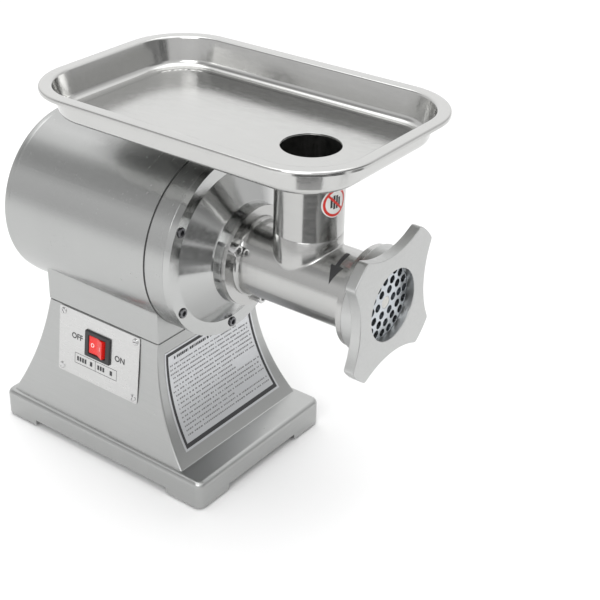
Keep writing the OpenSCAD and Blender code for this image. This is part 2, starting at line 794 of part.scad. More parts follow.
module switch_plate_screws() {
    color([0.6, 0.6, 0.6]) on_switch_plate() switch_plate_corners() difference() {
        union() {
            translate([0, -switch_plate_t, 0]) rotate([90, 0, 0]) cylinder(h = 1.2, r = 3.2);
            rotate([90, 0, 0]) translate([0, 0, -8]) cylinder(h = 8 + switch_plate_t + 0.5, r = plate_screw_r);
        }
        translate([-4, -switch_plate_t - 2, -0.4]) cube([8, 1.5, 0.8]);
    }
}

// The switch's bezel and the box behind it, with two stubs that the rocker turns on.
module switch_body() {
    w = bezel_w - 6 - 2 * screw_gap;
    h = bezel_h - 6 - 2 * screw_gap;
    color([0.05, 0.05, 0.05]) on_switch_plate() translate([0, -switch_plate_t, switch_mid]) {
        difference() {
            union() {
                rotate([90, 0, 0]) linear_extrude(2.5) rounded_rect(bezel_w, bezel_h, 1.5);
                translate([-w / 2, -over, -h / 2]) cube([w, 26, h]);
                for (x = [-7, 7], z = [-5, 5]) translate([x - 0.4, 20, z - 2.5]) cube([0.8, 14, 5]);
            }
            translate([-w / 2 + 2, -4, -h / 2 + 2]) cube([w - 4, 13 + hinge_in, h - 4]);
        }
        for (m = [0, 1]) mirror([0, 0, m]) translate([0, hinge_in, h / 2 - 2 - 3]) cylinder(h = 3.5, r = hinge_r);
    }
}

// The rocker, with its off side pressed in.
module rocker() {
    w = bezel_w - 14 - 2 * screw_gap;
    h = bezel_h - 11 - 2 * screw_gap;
    color([0.8, 0.05, 0.04]) on_switch_plate() translate([0, hinge_in - switch_plate_t, switch_mid])
        rotate([0, 0, -rocker_tilt]) difference() {
            translate([0, 0, -h / 2]) linear_extrude(h)
                polygon([[-w / 2, 2], [-w / 2, -7], [0, -4.5], [w / 2, -7], [w / 2, 2], [0, 5]]);
            cylinder(h = h + 2 * over, r = hinge_r + running_gap, center = true);
        }
}

// The printed plate on the front of the pedestal follows its flare.
label_z = [45, 148];
label_half = [81, 71];

module instruction_plate() {
    color([0.86, 0.87, 0.88]) intersection() {
        rotate([90, 0, 0]) linear_extrude(base_w, center = true) intersection() {
            translate([ped_front_top - 5, label_z[0]])
                square([ped_front_foot - ped_front_top, label_z[1] - label_z[0]]);
            translate(front_arc) difference() {
                circle(front_flare_r);
                circle(front_flare_r - label_t);
            }
        }
        rotate([90, 0, 90]) linear_extrude(base_l)
            polygon([[-label_half[0], label_z[0]], [label_half[0], label_z[0]],
                [label_half[1], label_z[1]], [-label_half[1], label_z[1]]]);
    }
}

module cable_gland() {
    color([0.08, 0.08, 0.08]) translate([gland_face, gland_y, gland_z]) rotate([0, -90, 0]) difference() {
        union() {
            cylinder(h = 5, r = 12.7, $fn = 6);
            translate([0, 0, 5]) cylinder(h = 6, r = 11);
            translate([0, 0, 11]) cylinder(h = 3, r1 = 11, r2 = 8);
            translate([0, 0, -gland_boss_l - 5]) cylinder(h = gland_boss_l + 6, r = gland_thread_r);
        }
        translate([0, 0, -gland_boss_l - 6]) cylinder(h = 50, r = lead_d / 2 + 0.3);
    }
}

module gland_nut() {
    color([0.1, 0.1, 0.1]) translate([gland_face + gland_boss_l, gland_y, gland_z]) rotate([0, 90, 0])
        difference() {
            cylinder(h = 5, r = 12.5, $fn = 6);
            translate([0, 0, -over]) cylinder(h = 5 + 2 * over, r = gland_thread_r + screw_gap);
        }
}

capacitor_r = 20;
capacitor_x = 30;
capacitor_z = foot_h + bottom_t + capacitor_r + 3;

module run_capacitor() {
    color([0.2, 0.21, 0.24]) translate([capacitor_x, -40, capacitor_z]) rotate([-90, 0, 0]) {
        cylinder(h = 80, r = capacitor_r);
        for (x = [-6, 6]) translate([x - 0.4, -3, 79]) cube([0.8, 6, 9]);
    }
}

module capacitor_clip() {
    t = 1.5;
    color([0.7, 0.7, 0.7]) translate([capacitor_x, -8, 0]) difference() {
        union() {
            translate([0, 0, capacitor_z]) rotate([-90, 0, 0]) cylinder(h = 16, r = capacitor_r + t + screw_gap);
            translate([-32, 0, foot_h + bottom_t]) cube([64, 16, t]);
            translate([-8, 0, foot_h + bottom_t]) cube([16, 16, 6]);
        }
        translate([0, -over, capacitor_z]) rotate([-90, 0, 0])
            cylinder(h = 16 + 2 * over, r = capacitor_r + screw_gap);
        translate([-4, -over, capacitor_z]) cube([8, 16 + 2 * over, capacitor_r + 5]);
    }
}

terminal_at = [-55, -30, foot_h + bottom_t];

module terminal_block() {
    color([0.9, 0.88, 0.8]) translate(terminal_at) difference() {
        union() {
            cube([22, 56, 12]);
            translate([4, 0, 11]) cube([14, 56, 7]);
        }
        for (i = [0:4]) {
            translate([-over, 6 + i * 11, 6]) rotate([0, 90, 0]) cylinder(h = 24 + over, r = 2);
            translate([11, 6 + i * 11, 8]) cylinder(h = 12, r = 2.2);
        }
    }
}

// A wire through a list of points, as eight-sided bars that run a little past each point.
module wire(points, r) {
    for (i = [0:len(points) - 2]) {
        d = points[i + 1] - points[i];
        translate(points[i]) rotate([0, acos(d[2] / norm(d)), atan2(d[1], d[0])])
            translate([0, 0, i == 0 ? 0 : -r / 2]) cylinder(h = norm(d) + (i == 0 ? r / 2 : r), r = r, $fn = 8);
    }
}

module internal_wiring() {
    up = seam_z + neck_floor + 6;
    t = terminal_at + [22.5, 0, 6];
    color([0.7, 0.12, 0.1]) {
        wire([t + [0, 17, 0], t + [12, 17, 10], [wire_x + 3, 4, seam_z - 40], [wire_x + 3, 4, up]], 1.6);
        wire([t + [0, 28, 0], t + [16, 28, 10], [wire_x + 3, -4, seam_z - 50], [wire_x + 3, -4, up]], 1.6);
        wire([t + [0, 39, 0], t + [14, 39, 12], [capacitor_x - 6, 60, capacitor_z + 18],
            [capacitor_x - 6, 50, capacitor_z + 2]], 1.6);
    }
}

module rotor_core() {
    color([0.45, 0.46, 0.48]) {
        ring_x(core_start, core_end, rotor_r, motor_shaft_r + 3);
        for (x = [core_start - 6, core_end]) ring_x(x, x + 6, rotor_r - 2, rotor_r - 14);
    }
}

module motor_shaft() {
    color([0.6, 0.6, 0.62]) {
        bar_x(fan_x, bulkhead_end + 1, motor_shaft_r - running_gap);
        bar_x(core_start - 10, core_end + 8, motor_shaft_r + 3);
        bar_x(bulkhead_end, first_x + first_face, pinion_bore_r);
    }
}

module motor_pinion() {
    color([0.5, 0.5, 0.52]) difference() {
        along_x(first_x, first_face) rotate(-90) polygon(gear_outline(first_module, pinion_teeth));
        bar_x(first_x - over, first_x + first_face + over, pinion_bore_r);
    }
}

module cooling_fan() {
    l = shield_x - 4 - fan_x;
    color([0.1, 0.1, 0.1]) difference() {
        union() {
            bar_x(fan_x, fan_x + l, 16);
            bar_x(fan_x + l - 2.5, fan_x + l, motor_bore_r - 24);
            around_x(8, 0) translate([fan_x, 14, -1.2]) cube([l, motor_bore_r - 42, 2.4]);
        }
        bar_x(fan_x - over, fan_x + l + over, motor_shaft_r - running_gap);
    }
}

module countershaft() {
    pinion_x = second_x - 1;
    color([0.55, 0.55, 0.57]) {
        bar_x(bulkhead_end - counter_bearing[2] + 0.5, counter_seat_x + counter_bearing[2] - 0.5,
            counter_bearing[0] - running_gap, 0, counter_z);
        bar_x(first_x - 1.5, pinion_x + over, counter_seat_r, 0, counter_z);
        translate([0, 0, counter_z]) along_x(pinion_x, second_face + 2) rotate(90)
            polygon(gear_outline(second_module, second_teeth));
    }
}

module countershaft_gear() {
    color([0.5, 0.5, 0.52]) difference() {
        translate([0, 0, counter_z]) along_x(first_x, first_face) rotate(90 + 180 / counter_teeth)
            polygon(gear_outline(first_module, counter_teeth));
        bar_x(first_x - over, first_x + first_face + over, counter_seat_r, 0, counter_z);
        for (i = [0:5]) translate([0, 0, axis_z + counter_z]) rotate([i * 60, 0, 0])
            translate([first_x - over, 20, 0]) rotate([0, 90, 0]) cylinder(h = first_face + 2 * over, r = 6);
    }
}

key_w = 8;
gear_seat_r = 14;

module output_gear() {
    color([0.52, 0.52, 0.54]) difference() {
        along_x(second_x, second_face) rotate(-90 + 180 / output_teeth)
            polygon(gear_outline(second_module, output_teeth));
        bar_x(second_x - over, second_x + second_face + over, gear_seat_r);
        translate([second_x - over, -key_w / 2 - 0.05, axis_z + gear_seat_r - 4])
            cube([second_face + 2 * over, key_w + 0.1, 7.2]);
    }
}

module output_shaft() {
    end = head_x - spigot_l - 1;
    color([0.58, 0.58, 0.6]) difference() {
        union() {
            bar_x(carrier_x, second_x, carrier_bearing[0] - running_gap);
            bar_x(second_x - 3, second_x + second_face, gear_seat_r);
            bar_x(second_x + second_face, output_seat_x - end_gap, shaft_shoulder_r);
            bar_x(output_seat_x - over, end, output_bearing[0] - running_gap);
        }
        translate([second_x, -key_w / 2 - 0.05, axis_z + gear_seat_r - 4])
            cube([second_face, key_w + 0.1, 10]);
        translate([end - socket_l, -tang / 2, axis_z - tang / 2]) cube([socket_l + over, tang, tang]);
    }
}

module output_key() {
    color([0.7, 0.7, 0.5]) translate([second_x + 0.2, -key_w / 2, axis_z + gear_seat_r - 4])
        cube([second_face - 0.4, key_w, 7]);
}

// The grinding head: flange, barrel, boss for the feed tube and the threaded nose.
module grinder_head() {
    color([0.76, 0.75, 0.72]) difference() {
        union() {
            turned_x([[0, head_x - spigot_l], [spigot_r, head_x - spigot_l], [spigot_r, head_x],
                [head_flange_r, head_x], [head_flange_r, flange_front - 1], [head_flange_r - 1, flange_front],
                [barrel_r, flange_front], [barrel_r, nose_x], [nose_r, nose_x], [nose_r, thread_x],
                [thread_r, thread_x], [thread_r, nose_end], [0, nose_end]]);
            translate([feed_axis, 0, axis_z]) cylinder(h = feed_weld_z - axis_z, r = feed_r);
        }
        bar_x(head_x + 4, knife_x, barrel_bore_r);
        bar_x(head_x - spigot_l - over, head_x + 5, journal_r + running_gap);
        bar_x(knife_x - 2, nose_end + over, chamber_r);
        translate([feed_axis, 0, axis_z]) cylinder(h = feed_weld_z - axis_z + over, r = feed_r - feed_wall);
        translate([plate_x, -2, axis_z + chamber_r - 1]) cube([nose_end - plate_x + over, 4, 3.2]);
        around_x(head_bolts_n, 30) translate([head_x - over, head_bolt_circle, 0]) rotate([0, 90, 0])
            cylinder(h = head_flange_t + 2 * over, r = m8[0] + screw_gap);
    }
}

module feed_tube() {
    color([0.8, 0.8, 0.79]) translate([feed_axis, 0, feed_weld_z]) difference() {
        cylinder(h = feed_top_z - feed_weld_z, r = feed_r);
        translate([0, 0, -over]) cylinder(h = feed_top_z - feed_weld_z + 2 * over, r = feed_r - feed_wall);
    }
}

module head_bolts() {
    color([0.8, 0.8, 0.8]) around_x(head_bolts_n, 30) translate([flange_front, head_bolt_circle, 0])
        cap_screw(m8, head_flange_t + 12);
}

// The pin in the nose's slot stops the grinding plate from turning.
module plate_pin() {
    color([0.7, 0.7, 0.7]) translate([plate_x, -2, axis_z + plate_r - 2.5])
        cube([nose_end - plate_x - 0.2, 4, 5.1]);
}

module auger() {
    l = auger_end - auger_start;
    web = flight_t / auger_pitch * 180;
    socket_end = head_x - spigot_l - 1;
    color([0.7, 0.69, 0.66]) {
        translate([auger_start, 0, axis_z]) rotate([90, 0, 90])
            linear_extrude(l, twist = 360 * l / auger_pitch, slices = ceil(l / auger_pitch * 20), $fn = 8)
                polygon(concat([for (i = [-3:3]) auger_r * [cos(i * web / 3), sin(i * web / 3)]],
                    [for (i = [1:11]) auger_core_r * [cos(i * 30), sin(i * 30)]]));
        bar_x(auger_end - over, knife_x - end_gap, auger_core_r - 3);
        bar_x(head_x - spigot_l + 1, auger_start, journal_r);
        translate([socket_end - socket_l + 0.5, -tang / 2 + screw_gap, axis_z - tang / 2 + screw_gap])
            cube([socket_l + 3, tang - 2 * screw_gap, tang - 2 * screw_gap]);
        translate([knife_x - end_gap - over, -knife_square / 2, axis_z - knife_square / 2])
            cube([knife_t + over, knife_square, knife_square]);
        bar_x(plate_x - 1, plate_x + plate_t - 0.3, stud_r - running_gap);
    }
}

module cross_knife() {
    tip = chamber_r - 2;
    color([0.72, 0.73, 0.75]) difference() {
        union() {
            bar_x(knife_x, knife_x + knife_t, 14);
            around_x(4, 20) translate([knife_x, 0, 0]) rotate([90, 0, 90]) linear_extrude(knife_t)
                polygon([[8, -6], [tip - 2, -8], [tip, -3], [tip, 1], [8, 5]]);
        }
        translate([knife_x - over, -knife_square / 2 - screw_gap, axis_z - knife_square / 2 - screw_gap])
            cube([knife_t + 2 * over, knife_square + 2 * screw_gap, knife_square + 2 * screw_gap]);
    }
}

// Each ring of holes in the grinding plate, as its radius and the number of holes.
hole_rings = [[13, 6], [22.8, 12], [32.3, 18]];

module grinding_plate() {
    color([0.55, 0.56, 0.57]) difference() {
        bar_x(plate_x, plate_x + plate_t, plate_r);
        bar_x(plate_x - over, plate_x + plate_t + over, stud_r);
        for (ring = hole_rings) around_x(ring[1], 5) translate([plate_x - over, ring[0], 0]) rotate([0, 90, 0])
            cylinder(h = plate_t + 2 * over, r = plate_hole_r);
        translate([plate_x - over, -2 - screw_gap, axis_z + plate_r - 2.8])
            cube([plate_t + 2 * over, 4 + 2 * screw_gap, 5]);
    }
}

module ring_nut() {
    hollow_at = waist_r + hollow_r;
    color([0.8, 0.8, 0.79]) difference() {
        union() {
            along_x(nut_front - lobe_t, lobe_t) rotate(lobe_turn) difference() {
                circle(lobe_r);
                for (a = [45:90:315]) rotate(a) translate([hollow_at, 0]) circle(hollow_r);
            }
            turned_x([[0, nut_x], [waist_r - 1.5, nut_x], [waist_r - 0.5, nut_x + 1],
                [waist_r - 0.5, nut_front - 1], [0, nut_front - 1]]);
        }
        bar_x(nut_x - over, nose_end + 0.5, thread_r + thread_gap);
        bar_x(nose_end, nut_lip_x, chamber_r);
        bar_x(nut_lip_x - over, nut_front + over, aperture_r);
    }
}

// The tray's section from the axis of a corner outwards, moved in by t all round, up to the height top.
module tray_section(t, top) {
    foot = rim_corner_r - rim_w - wall_lean;
    lean = atan(wall_lean / (rim_z - tray_floor));
    f = floor_fillet;
    mid = [foot + f * tan(lean) - f / cos(lean), tray_floor + f];
    polygon([[0, tray_floor + t], [mid[0], tray_floor + t], mid + (f - t) * [cos(lean), -sin(lean)],
        [foot + (top - tray_floor) * tan(lean) - t / cos(lean), top], [0, top]]);
    translate(mid) circle(f - t);
}

// The tray's outer or inner shape: its section carried round four corners and along four sides.
module tray_shape(t, top) {
    l = tray_l / 2 - rim_corner_r;
    w = tray_w / 2 - rim_corner_r;
    translate([tray_mid, 0, 0]) {
        for (x = [-l, l], y = [-w, w]) translate([x, y, 0]) rotate_extrude() intersection() {
            tray_section(t, top);
            square([rim_corner_r, top + over]);
        }
        rotate([90, 0, 0]) linear_extrude(2 * w, center = true)
            for (m = [0, 1]) mirror([m, 0]) translate([l, 0]) tray_section(t, top);
        rotate([90, 0, 90]) linear_extrude(2 * l, center = true)
            for (m = [0, 1]) mirror([m, 0]) translate([w, 0]) tray_section(t, top);
        translate([-l, -w, tray_floor + t]) cube([2 * l, 2 * w, top - tray_floor - t]);
    }
}

module tray() {
    color([0.83, 0.83, 0.82]) difference() {
        union() {
            tray_shape(0, rim_z - sheet_t / 2);
            translate([tray_mid, 0, rim_z - sheet_t]) linear_extrude(sheet_t)
                rounded_rect(tray_l, tray_w, rim_corner_r);
        }
        tray_shape(sheet_t, rim_z + over);
        translate([feed_axis, 0, tray_floor - over]) cylinder(h = 3 * over, r = spout_r - spout_wall);
    }
}

module tray_spout() {
    color([0.82, 0.82, 0.81]) translate([feed_axis, 0, tray_floor - spout_l]) difference() {
        cylinder(h = spout_l, r = spout_r);
        translate([0, 0, -over]) cylinder(h = spout_l + 2 * over, r = spout_r - spout_wall);
    }
}

sticker_z = 346;
sticker_turn = -10;

module safety_sticker() {
    color([0.92, 0.91, 0.9]) intersection() {
        translate([feed_axis, 0, sticker_z - 30]) difference() {
            cylinder(h = 60, r = feed_r + label_t);
            translate([0, 0, -over]) cylinder(h = 60 + 2 * over, r = feed_r);
        }
        translate([feed_axis, 0, sticker_z]) rotate([0, 90, sticker_turn]) cylinder(h = 60, r = sticker_r);
    }
}

module direction_arrow() {
    x = feed_axis + 49;
    color([0.1, 0.1, 0.1]) intersection() {
        ring_x(x - 15, x + 15, barrel_r + label_t, barrel_r);
        translate([x, -22, axis_z]) linear_extrude(60)
            polygon([[-2, 19], [2, 19], [2, 1], [7, 1], [0, -12], [-7, 1], [-2, 1]]);
    }
}

base_casting();
bottom_plate();
rubber_feet();
foot_screws();
motor_housing();
housing_bolts();
rear_cover();
rear_cover_screws();
rear_shield();
rear_bearing();
motor_front_bearing();
stator_core();
stator_windings();
case_gasket();
gear_case();
front_cover();
cover_screws();
gear_carrier();
carrier_screws();
output_front_bearing();
output_rear_bearing();
oil_seal();
countershaft_bearings();
switch_plate();
switch_plate_screws();
switch_body();
rocker();
instruction_plate();
cable_gland();
gland_nut();
run_capacitor();
capacitor_clip();
terminal_block();
internal_wiring();
rotor_core();
motor_shaft();
motor_pinion();
cooling_fan();
countershaft();
countershaft_gear();
output_gear();
output_shaft();
output_key();
grinder_head();
feed_tube();
head_bolts();
plate_pin();
auger();
cross_knife();
grinding_plate();
ring_nut();
tray();
tray_spout();
safety_sticker();
direction_arrow();
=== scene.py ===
"""Electric meat grinder: the finished look of the machine, built around its CAD frame."""

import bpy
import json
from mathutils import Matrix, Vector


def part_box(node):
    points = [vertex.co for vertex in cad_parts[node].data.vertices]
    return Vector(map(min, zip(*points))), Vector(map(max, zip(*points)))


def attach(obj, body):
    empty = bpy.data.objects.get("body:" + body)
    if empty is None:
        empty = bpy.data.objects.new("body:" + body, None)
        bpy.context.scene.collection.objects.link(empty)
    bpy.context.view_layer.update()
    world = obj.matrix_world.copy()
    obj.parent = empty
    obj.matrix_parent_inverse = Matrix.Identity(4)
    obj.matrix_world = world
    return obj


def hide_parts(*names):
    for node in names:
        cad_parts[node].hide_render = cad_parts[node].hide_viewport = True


bl_info = {
    "name": "Electric Meat Grinder",
    "version": (1, 0, 0),
    "blender": (4, 5, 0),
    "location": "View3D > Sidebar > Grinder",
    "description": "Builds a table-top meat grinder: cast base, motor, gear case, head, ring nut and tray",
    "category": "Add Mesh",
}

import json
import math
import random

import bmesh
import bpy
from bpy.props import FloatProperty, FloatVectorProperty, IntProperty, PointerProperty
from mathutils import Matrix, Vector

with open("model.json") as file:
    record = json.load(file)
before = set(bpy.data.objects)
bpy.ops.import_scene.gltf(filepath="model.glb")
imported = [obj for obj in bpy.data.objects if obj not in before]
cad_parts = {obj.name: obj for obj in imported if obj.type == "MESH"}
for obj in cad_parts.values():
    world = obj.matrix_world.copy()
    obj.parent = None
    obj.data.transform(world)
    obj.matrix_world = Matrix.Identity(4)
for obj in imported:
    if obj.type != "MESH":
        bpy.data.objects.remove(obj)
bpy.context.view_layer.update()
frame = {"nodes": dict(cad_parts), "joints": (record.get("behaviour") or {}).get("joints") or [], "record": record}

# Places and sizes that the frame gives, in metres.
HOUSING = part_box("motor_housing")
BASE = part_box("base_casting")
GEAR_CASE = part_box("gear_case")
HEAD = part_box("grinder_head")
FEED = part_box("feed_tube")
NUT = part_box("ring_nut")
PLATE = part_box("grinding_plate")
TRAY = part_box("tray")
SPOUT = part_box("tray_spout")
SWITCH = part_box("switch_plate")
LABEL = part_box("instruction_plate")
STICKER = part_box("safety_sticker")
MOTOR_R = HOUSING[1].y
AXIS_Z = HOUSING[1].z - MOTOR_R
SEAM_Z = BASE[1].z
HEAD_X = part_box("front_cover")[1].x
FEED_X = (FEED[0].x + FEED[1].x) / 2
FEED_R = FEED[1].y
TRAY_MID = (TRAY[0].x + TRAY[1].x) / 2
HINGE = next(joint for joint in frame["joints"] if joint["name"] == "rocker_turn")
MM = 0.001
WELD = 2e-6  # points closer than this are one point
NEAR = 1e-5  # places closer than this are one place
FIRST_SCREW = math.radians(30)  # where each ring of screws starts, from +Y
TO_X = Matrix.Rotation(math.pi / 2, 4, "Y")  # turns +Z to +X


def millimetres(name, description, default):
    """A length property, with its default given in millimetres."""
    return FloatProperty(
        name=name, description=description, default=default * MM, min=0, precision=4, unit="LENGTH"
    )


def colour(name, description, default):
    """A colour property."""
    return FloatVectorProperty(
        name=name, description=description, default=default, size=3, min=0, max=1, subtype="COLOR"
    )


class GrinderSizes(bpy.types.PropertyGroup):
    """Sizes of the pieces that the frame's boxes don't give."""

    slab_height: millimetres("Slab height", "Height of the slab's top above the floor", 34)
    slab_edge: millimetres("Slab edge", "Radius along the slab's top edges", 6)
    slab_corner: millimetres("Slab corner", "Radius of the slab's upright corners", 9)
    pad_length: millimetres("Pad length", "Length of the corner pads along each side", 48)
    arch_height: millimetres("Arch height", "Height of the arches between the pads", 6.5)
    cast_wall: millimetres("Casting wall", "Wall of the base casting", 6)
    front_foot: millimetres("Front foot", "Reach of the pedestal's front at its foot", 116)
    rear_foot: millimetres("Rear foot", "Reach of the pedestal's back at its foot", 139)
    side_foot: millimetres("Side foot", "Reach of the pedestal's sides at their foot", 99)
    rear_top: millimetres("Rear top", "Reach of the pedestal's back at its top", 88)
    side_top: millimetres("Side top", "Reach of the pedestal's sides at their top", 80)
    front_flare: millimetres("Front flare", "Radius of the front flare", 187)
    rear_flare: millimetres("Rear flare", "Radius of the back flare", 393)
    side_flare: millimetres("Side flare", "Radius of the side flares", 1016)
    upright_edge: millimetres("Upright edges", "Radius of the pedestal's upright edges", 2.2)
    neck_fillet: millimetres("Neck fillet", "Radius between the neck and the motor", 9)
    cover_flange: millimetres("Cover flange", "Thickness of the cover's flange", 8)
    cone_radius: millimetres("Cone radius", "Radius where the cover's cone starts", 82.7)
    cone_length: millimetres("Cone length", "Length of the cover's cone", 18)
    collar_radius: millimetres("Collar radius", "Radius of the collar that carries the head", 53.6)
    screw_circle: millimetres("Screw circle", "Radius of the circle of cover screws", 89.5)
    cover_screws: IntProperty(name="Cover screws", description="Number of cover screws", default=6, min=3)
    head_flange: millimetres("Head flange", "Thickness of the head's flange", 5)
    head_flange_radius: millimetres("Head flange radius", "Radius of the head's flange", 52.7)
    barrel_radius: millimetres("Barrel radius", "Outer radius of the barrel", 39)
    barrel_bore: millimetres("Barrel bore", "Radius of the barrel's bore", 34)
    nose_radius: millimetres("Nose radius", "Radius of the collar behind the thread", 51.4)
    nose_length: millimetres("Nose length", "Length of the collar behind the thread", 6)
    thread_radius: millimetres("Thread radius", "Radius of the thread on the nose", 49)
    thread_length: millimetres("Thread length", "Length of the thread", 12)
    saddle_fillet: millimetres("Saddle fillet", "Radius between the feed boss and the barrel", 2)
    feed_wall: millimetres("Feed tube wall", "Wall of the feed tube", 2.5)
    lobe_radius: millimetres("Lobe radius", "Radius of the ring nut's lobes", 78.5)
    waist_radius: millimetres("Waist radius", "Smallest radius between the lobes", 54)
    hollow_radius: millimetres("Hollow radius", "Radius of the hollows between the lobes", 96)
    lobe_thickness: millimetres("Lobe thickness", "Thickness of the lobed plate", 11)
    aperture: millimetres("Aperture", "Radius of the ring nut's opening", 36.5)
    plate_hole: millimetres("Plate hole", "Radius of the holes in the grinding plate", 4)
    rim_width: millimetres("Rim width", "Width of the tray's rim", 14)
    rim_corner: millimetres("Rim corner", "Radius of the tray's rim at its corners", 70)
    wall_lean: millimetres("Wall lean", "How far the tray's walls lean in over their depth", 5)
    floor_fillet: millimetres("Floor fillet", "Radius between the tray's walls and floor", 9)
    sheet: millimetres("Sheet", "Thickness of the tray's sheet", 1.2)
    bezel_length: millimetres("Bezel length", "Length of the switch's bezel", 37)
    bezel_height: millimetres("Bezel height", "Height of the switch's bezel", 31)


class GrinderColours(bpy.types.PropertyGroup):
    """Colours of the finishes."""

    aluminium: colour("Aluminium", "The cast and turned aluminium", (0.43, 0.435, 0.43))
    polished: colour("Polished cover", "The polished gear cover", (0.47, 0.475, 0.47))
    stainless: colour("Stainless steel", "The tray, feed tube and head", (0.46, 0.46, 0.452))
    nut: colour("Ring nut", "The cast ring nut", (0.5, 0.505, 0.50))
    rocker: colour("Rocker", "The red rocker", (0.72, 0.012, 0.008))
    print_ink: colour("Print", "The dark print on the labels", (0.03, 0.03, 0.032))
    floor: colour("Floor", "The floor and backdrop", (0.88, 0.88, 0.88))


# ---------------------------------------------------------------------------------------------
# Finishes


def new_finish(name, **sockets):
    """A material, its node tree and its shader, with constants set on the shader's own sockets."""
    finish = bpy.data.materials.new(name)
    finish.use_nodes = True
    tree = finish.node_tree
    shader = next(node for node in tree.nodes if node.type == "BSDF_PRINCIPLED")
    for socket, value in sockets.items():
        shader.inputs[socket.replace("_", " ")].default_value = value
    return finish, tree, shader


def add_node(tree, kind, settings=None, **inputs):
    """A node with its settings and its input values, where a value that is a socket is linked."""
    node = tree.nodes.new(kind)
    for key, value in (settings or {}).items():
        setattr(node, key, value)
    for key, value in inputs.items():
        socket = node.inputs[int(key[1:]) if key[0] == "i" and key[1:].isdigit() else key]
        if isinstance(value, bpy.types.NodeSocket):
            tree.links.new(value, socket)
        else:
            socket.default_value = value
    return node


def place(tree, stretch, centre=(0, 0, 0), around=None):
    """Object coordinates, stretched; around an axis they become the place along it and the radius."""
    spot = add_node(tree, "ShaderNodeTexCoord").outputs["Object"]
    spot = add_node(
        tree, "ShaderNodeMapping", Vector=spot, Location=[-c for c in centre]
    ).outputs["Vector"]
    if around is not None:
        parts = add_node(tree, "ShaderNodeSeparateXYZ", Vector=spot).outputs
        along = {"X": 0, "Z": 2}[around]
        flat = [parts[i] if i != along else 0 for i in range(3)]
        across = add_node(tree, "ShaderNodeCombineXYZ", X=flat[0], Y=flat[1], Z=flat[2])
        radius = add_node(
            tree, "ShaderNodeVectorMath", {"operation": "LENGTH"}, i0=across.outputs[0]
        ).outputs["Value"]
        spot = add_node(tree, "ShaderNodeCombineXYZ", X=parts[along], Y=radius).outputs[0]
    return add_node(tree, "ShaderNodeMapping", Vector=spot, Scale=stretch).outputs["Vector"]


def noise(tree, vector, scale=1.0, detail=4.0, roughness=0.55):
    """Soft noise over a vector."""
    return add_node(
        tree, "ShaderNodeTexNoise", Vector=vector, Scale=scale, Detail=detail, Roughness=roughness
    ).outputs["Fac"]


def spread(tree, value, low, high, start=0.3, end=0.7):
    """A value carried from one span to another."""
    return add_node(
        tree,
        "ShaderNodeMapRange",
        i0=value,
        i1=start,
        i2=end,
        i3=low,
        i4=high,
    ).outputs[0]


def blend_colours(tree, factor, first, second):
    """A mix of two colours."""
    mix = add_node(tree, "ShaderNodeMix", {"data_type": "RGBA"})
    tree.links.new(factor, mix.inputs[0])
    for socket, tone in ((mix.inputs[6], first), (mix.inputs[7], second)):
        if isinstance(tone, bpy.types.NodeSocket):
            tree.links.new(tone, socket)
        else:
            socket.default_value = (*tone, 1)
    return mix.outputs[2]


def shade(tone, by):
    """A colour made lighter or darker."""
    return tuple(min(1, part * by) for part in tone)


def round_grain(tree, shader, centre, around, amount):
    """Makes the shine streak across tool marks that run round an axis."""
    spot = add_node(tree, "ShaderNodeTexCoord").outputs["Object"]
    axis = (1, 0, 0) if around == "X" else (0, 0, 1)
    arm = add_node(tree, "ShaderNodeVectorMath", {"operation": "SUBTRACT"}, i0=spot, i1=centre)
    turn = add_node(
        tree, "ShaderNodeVectorMath", {"operation": "CROSS_PRODUCT"}, i0=arm.outputs[0], i1=axis
    )
    settings = {"vector_type": "VECTOR", "convert_from": "OBJECT", "convert_to": "WORLD"}
    along = add_node(tree, "ShaderNodeVectorTransform", settings, i0=turn.outputs[0])
    tree.links.new(along.outputs[0], shader.inputs["Tangent"])
    shader.inputs["Anisotropic"].default_value = amount
    shader.inputs["Anisotropic Rotation"].default_value = 0.25


def metal(
    name, tone, rough, grain, centre=(0, 0, 0), around=None, depth=0.08, clouds=0.1, uneven=0.04,
    metallic=1.0, streak=0.75,
):
    """Bare metal: fine tool marks stretched along the grain, soft clouds of tone and small scuffs."""
    finish, tree, shader = new_finish(name, Metallic=metallic)
    if around:
        round_grain(tree, shader, centre, around, streak)
    marks = noise(tree, place(tree, grain, centre, around), detail=5, roughness=0.65)
    cloud = noise(tree, place(tree, (14, 14, 14)), detail=3)
    scuffs = noise(tree, place(tree, (140, 140, 260)), detail=6, roughness=0.7)
    body = blend_colours(tree, spread(tree, cloud, 0, 1), shade(tone, 1 - clouds), tone)
    marked = blend_colours(tree, spread(tree, marks, 0, 0.5), body, shade(tone, 1 - 2 * clouds))
    tree.links.new(marked, shader.inputs["Base Color"])
    worn = add_node(
        tree,
        "ShaderNodeMath",
        {"operation": "MULTIPLY_ADD"},
        i0=spread(tree, scuffs, -1, 1),
        i1=uneven,
        i2=spread(tree, marks, rough - uneven, rough + uneven),
    ).outputs[0]
    tree.links.new(worn, shader.inputs["Roughness"])
    bump = add_node(tree, "ShaderNodeBump", Strength=depth, Distance=0.0004, Height=marks)
    tree.links.new(bump.outputs[0], shader.inputs["Normal"])
    return finish


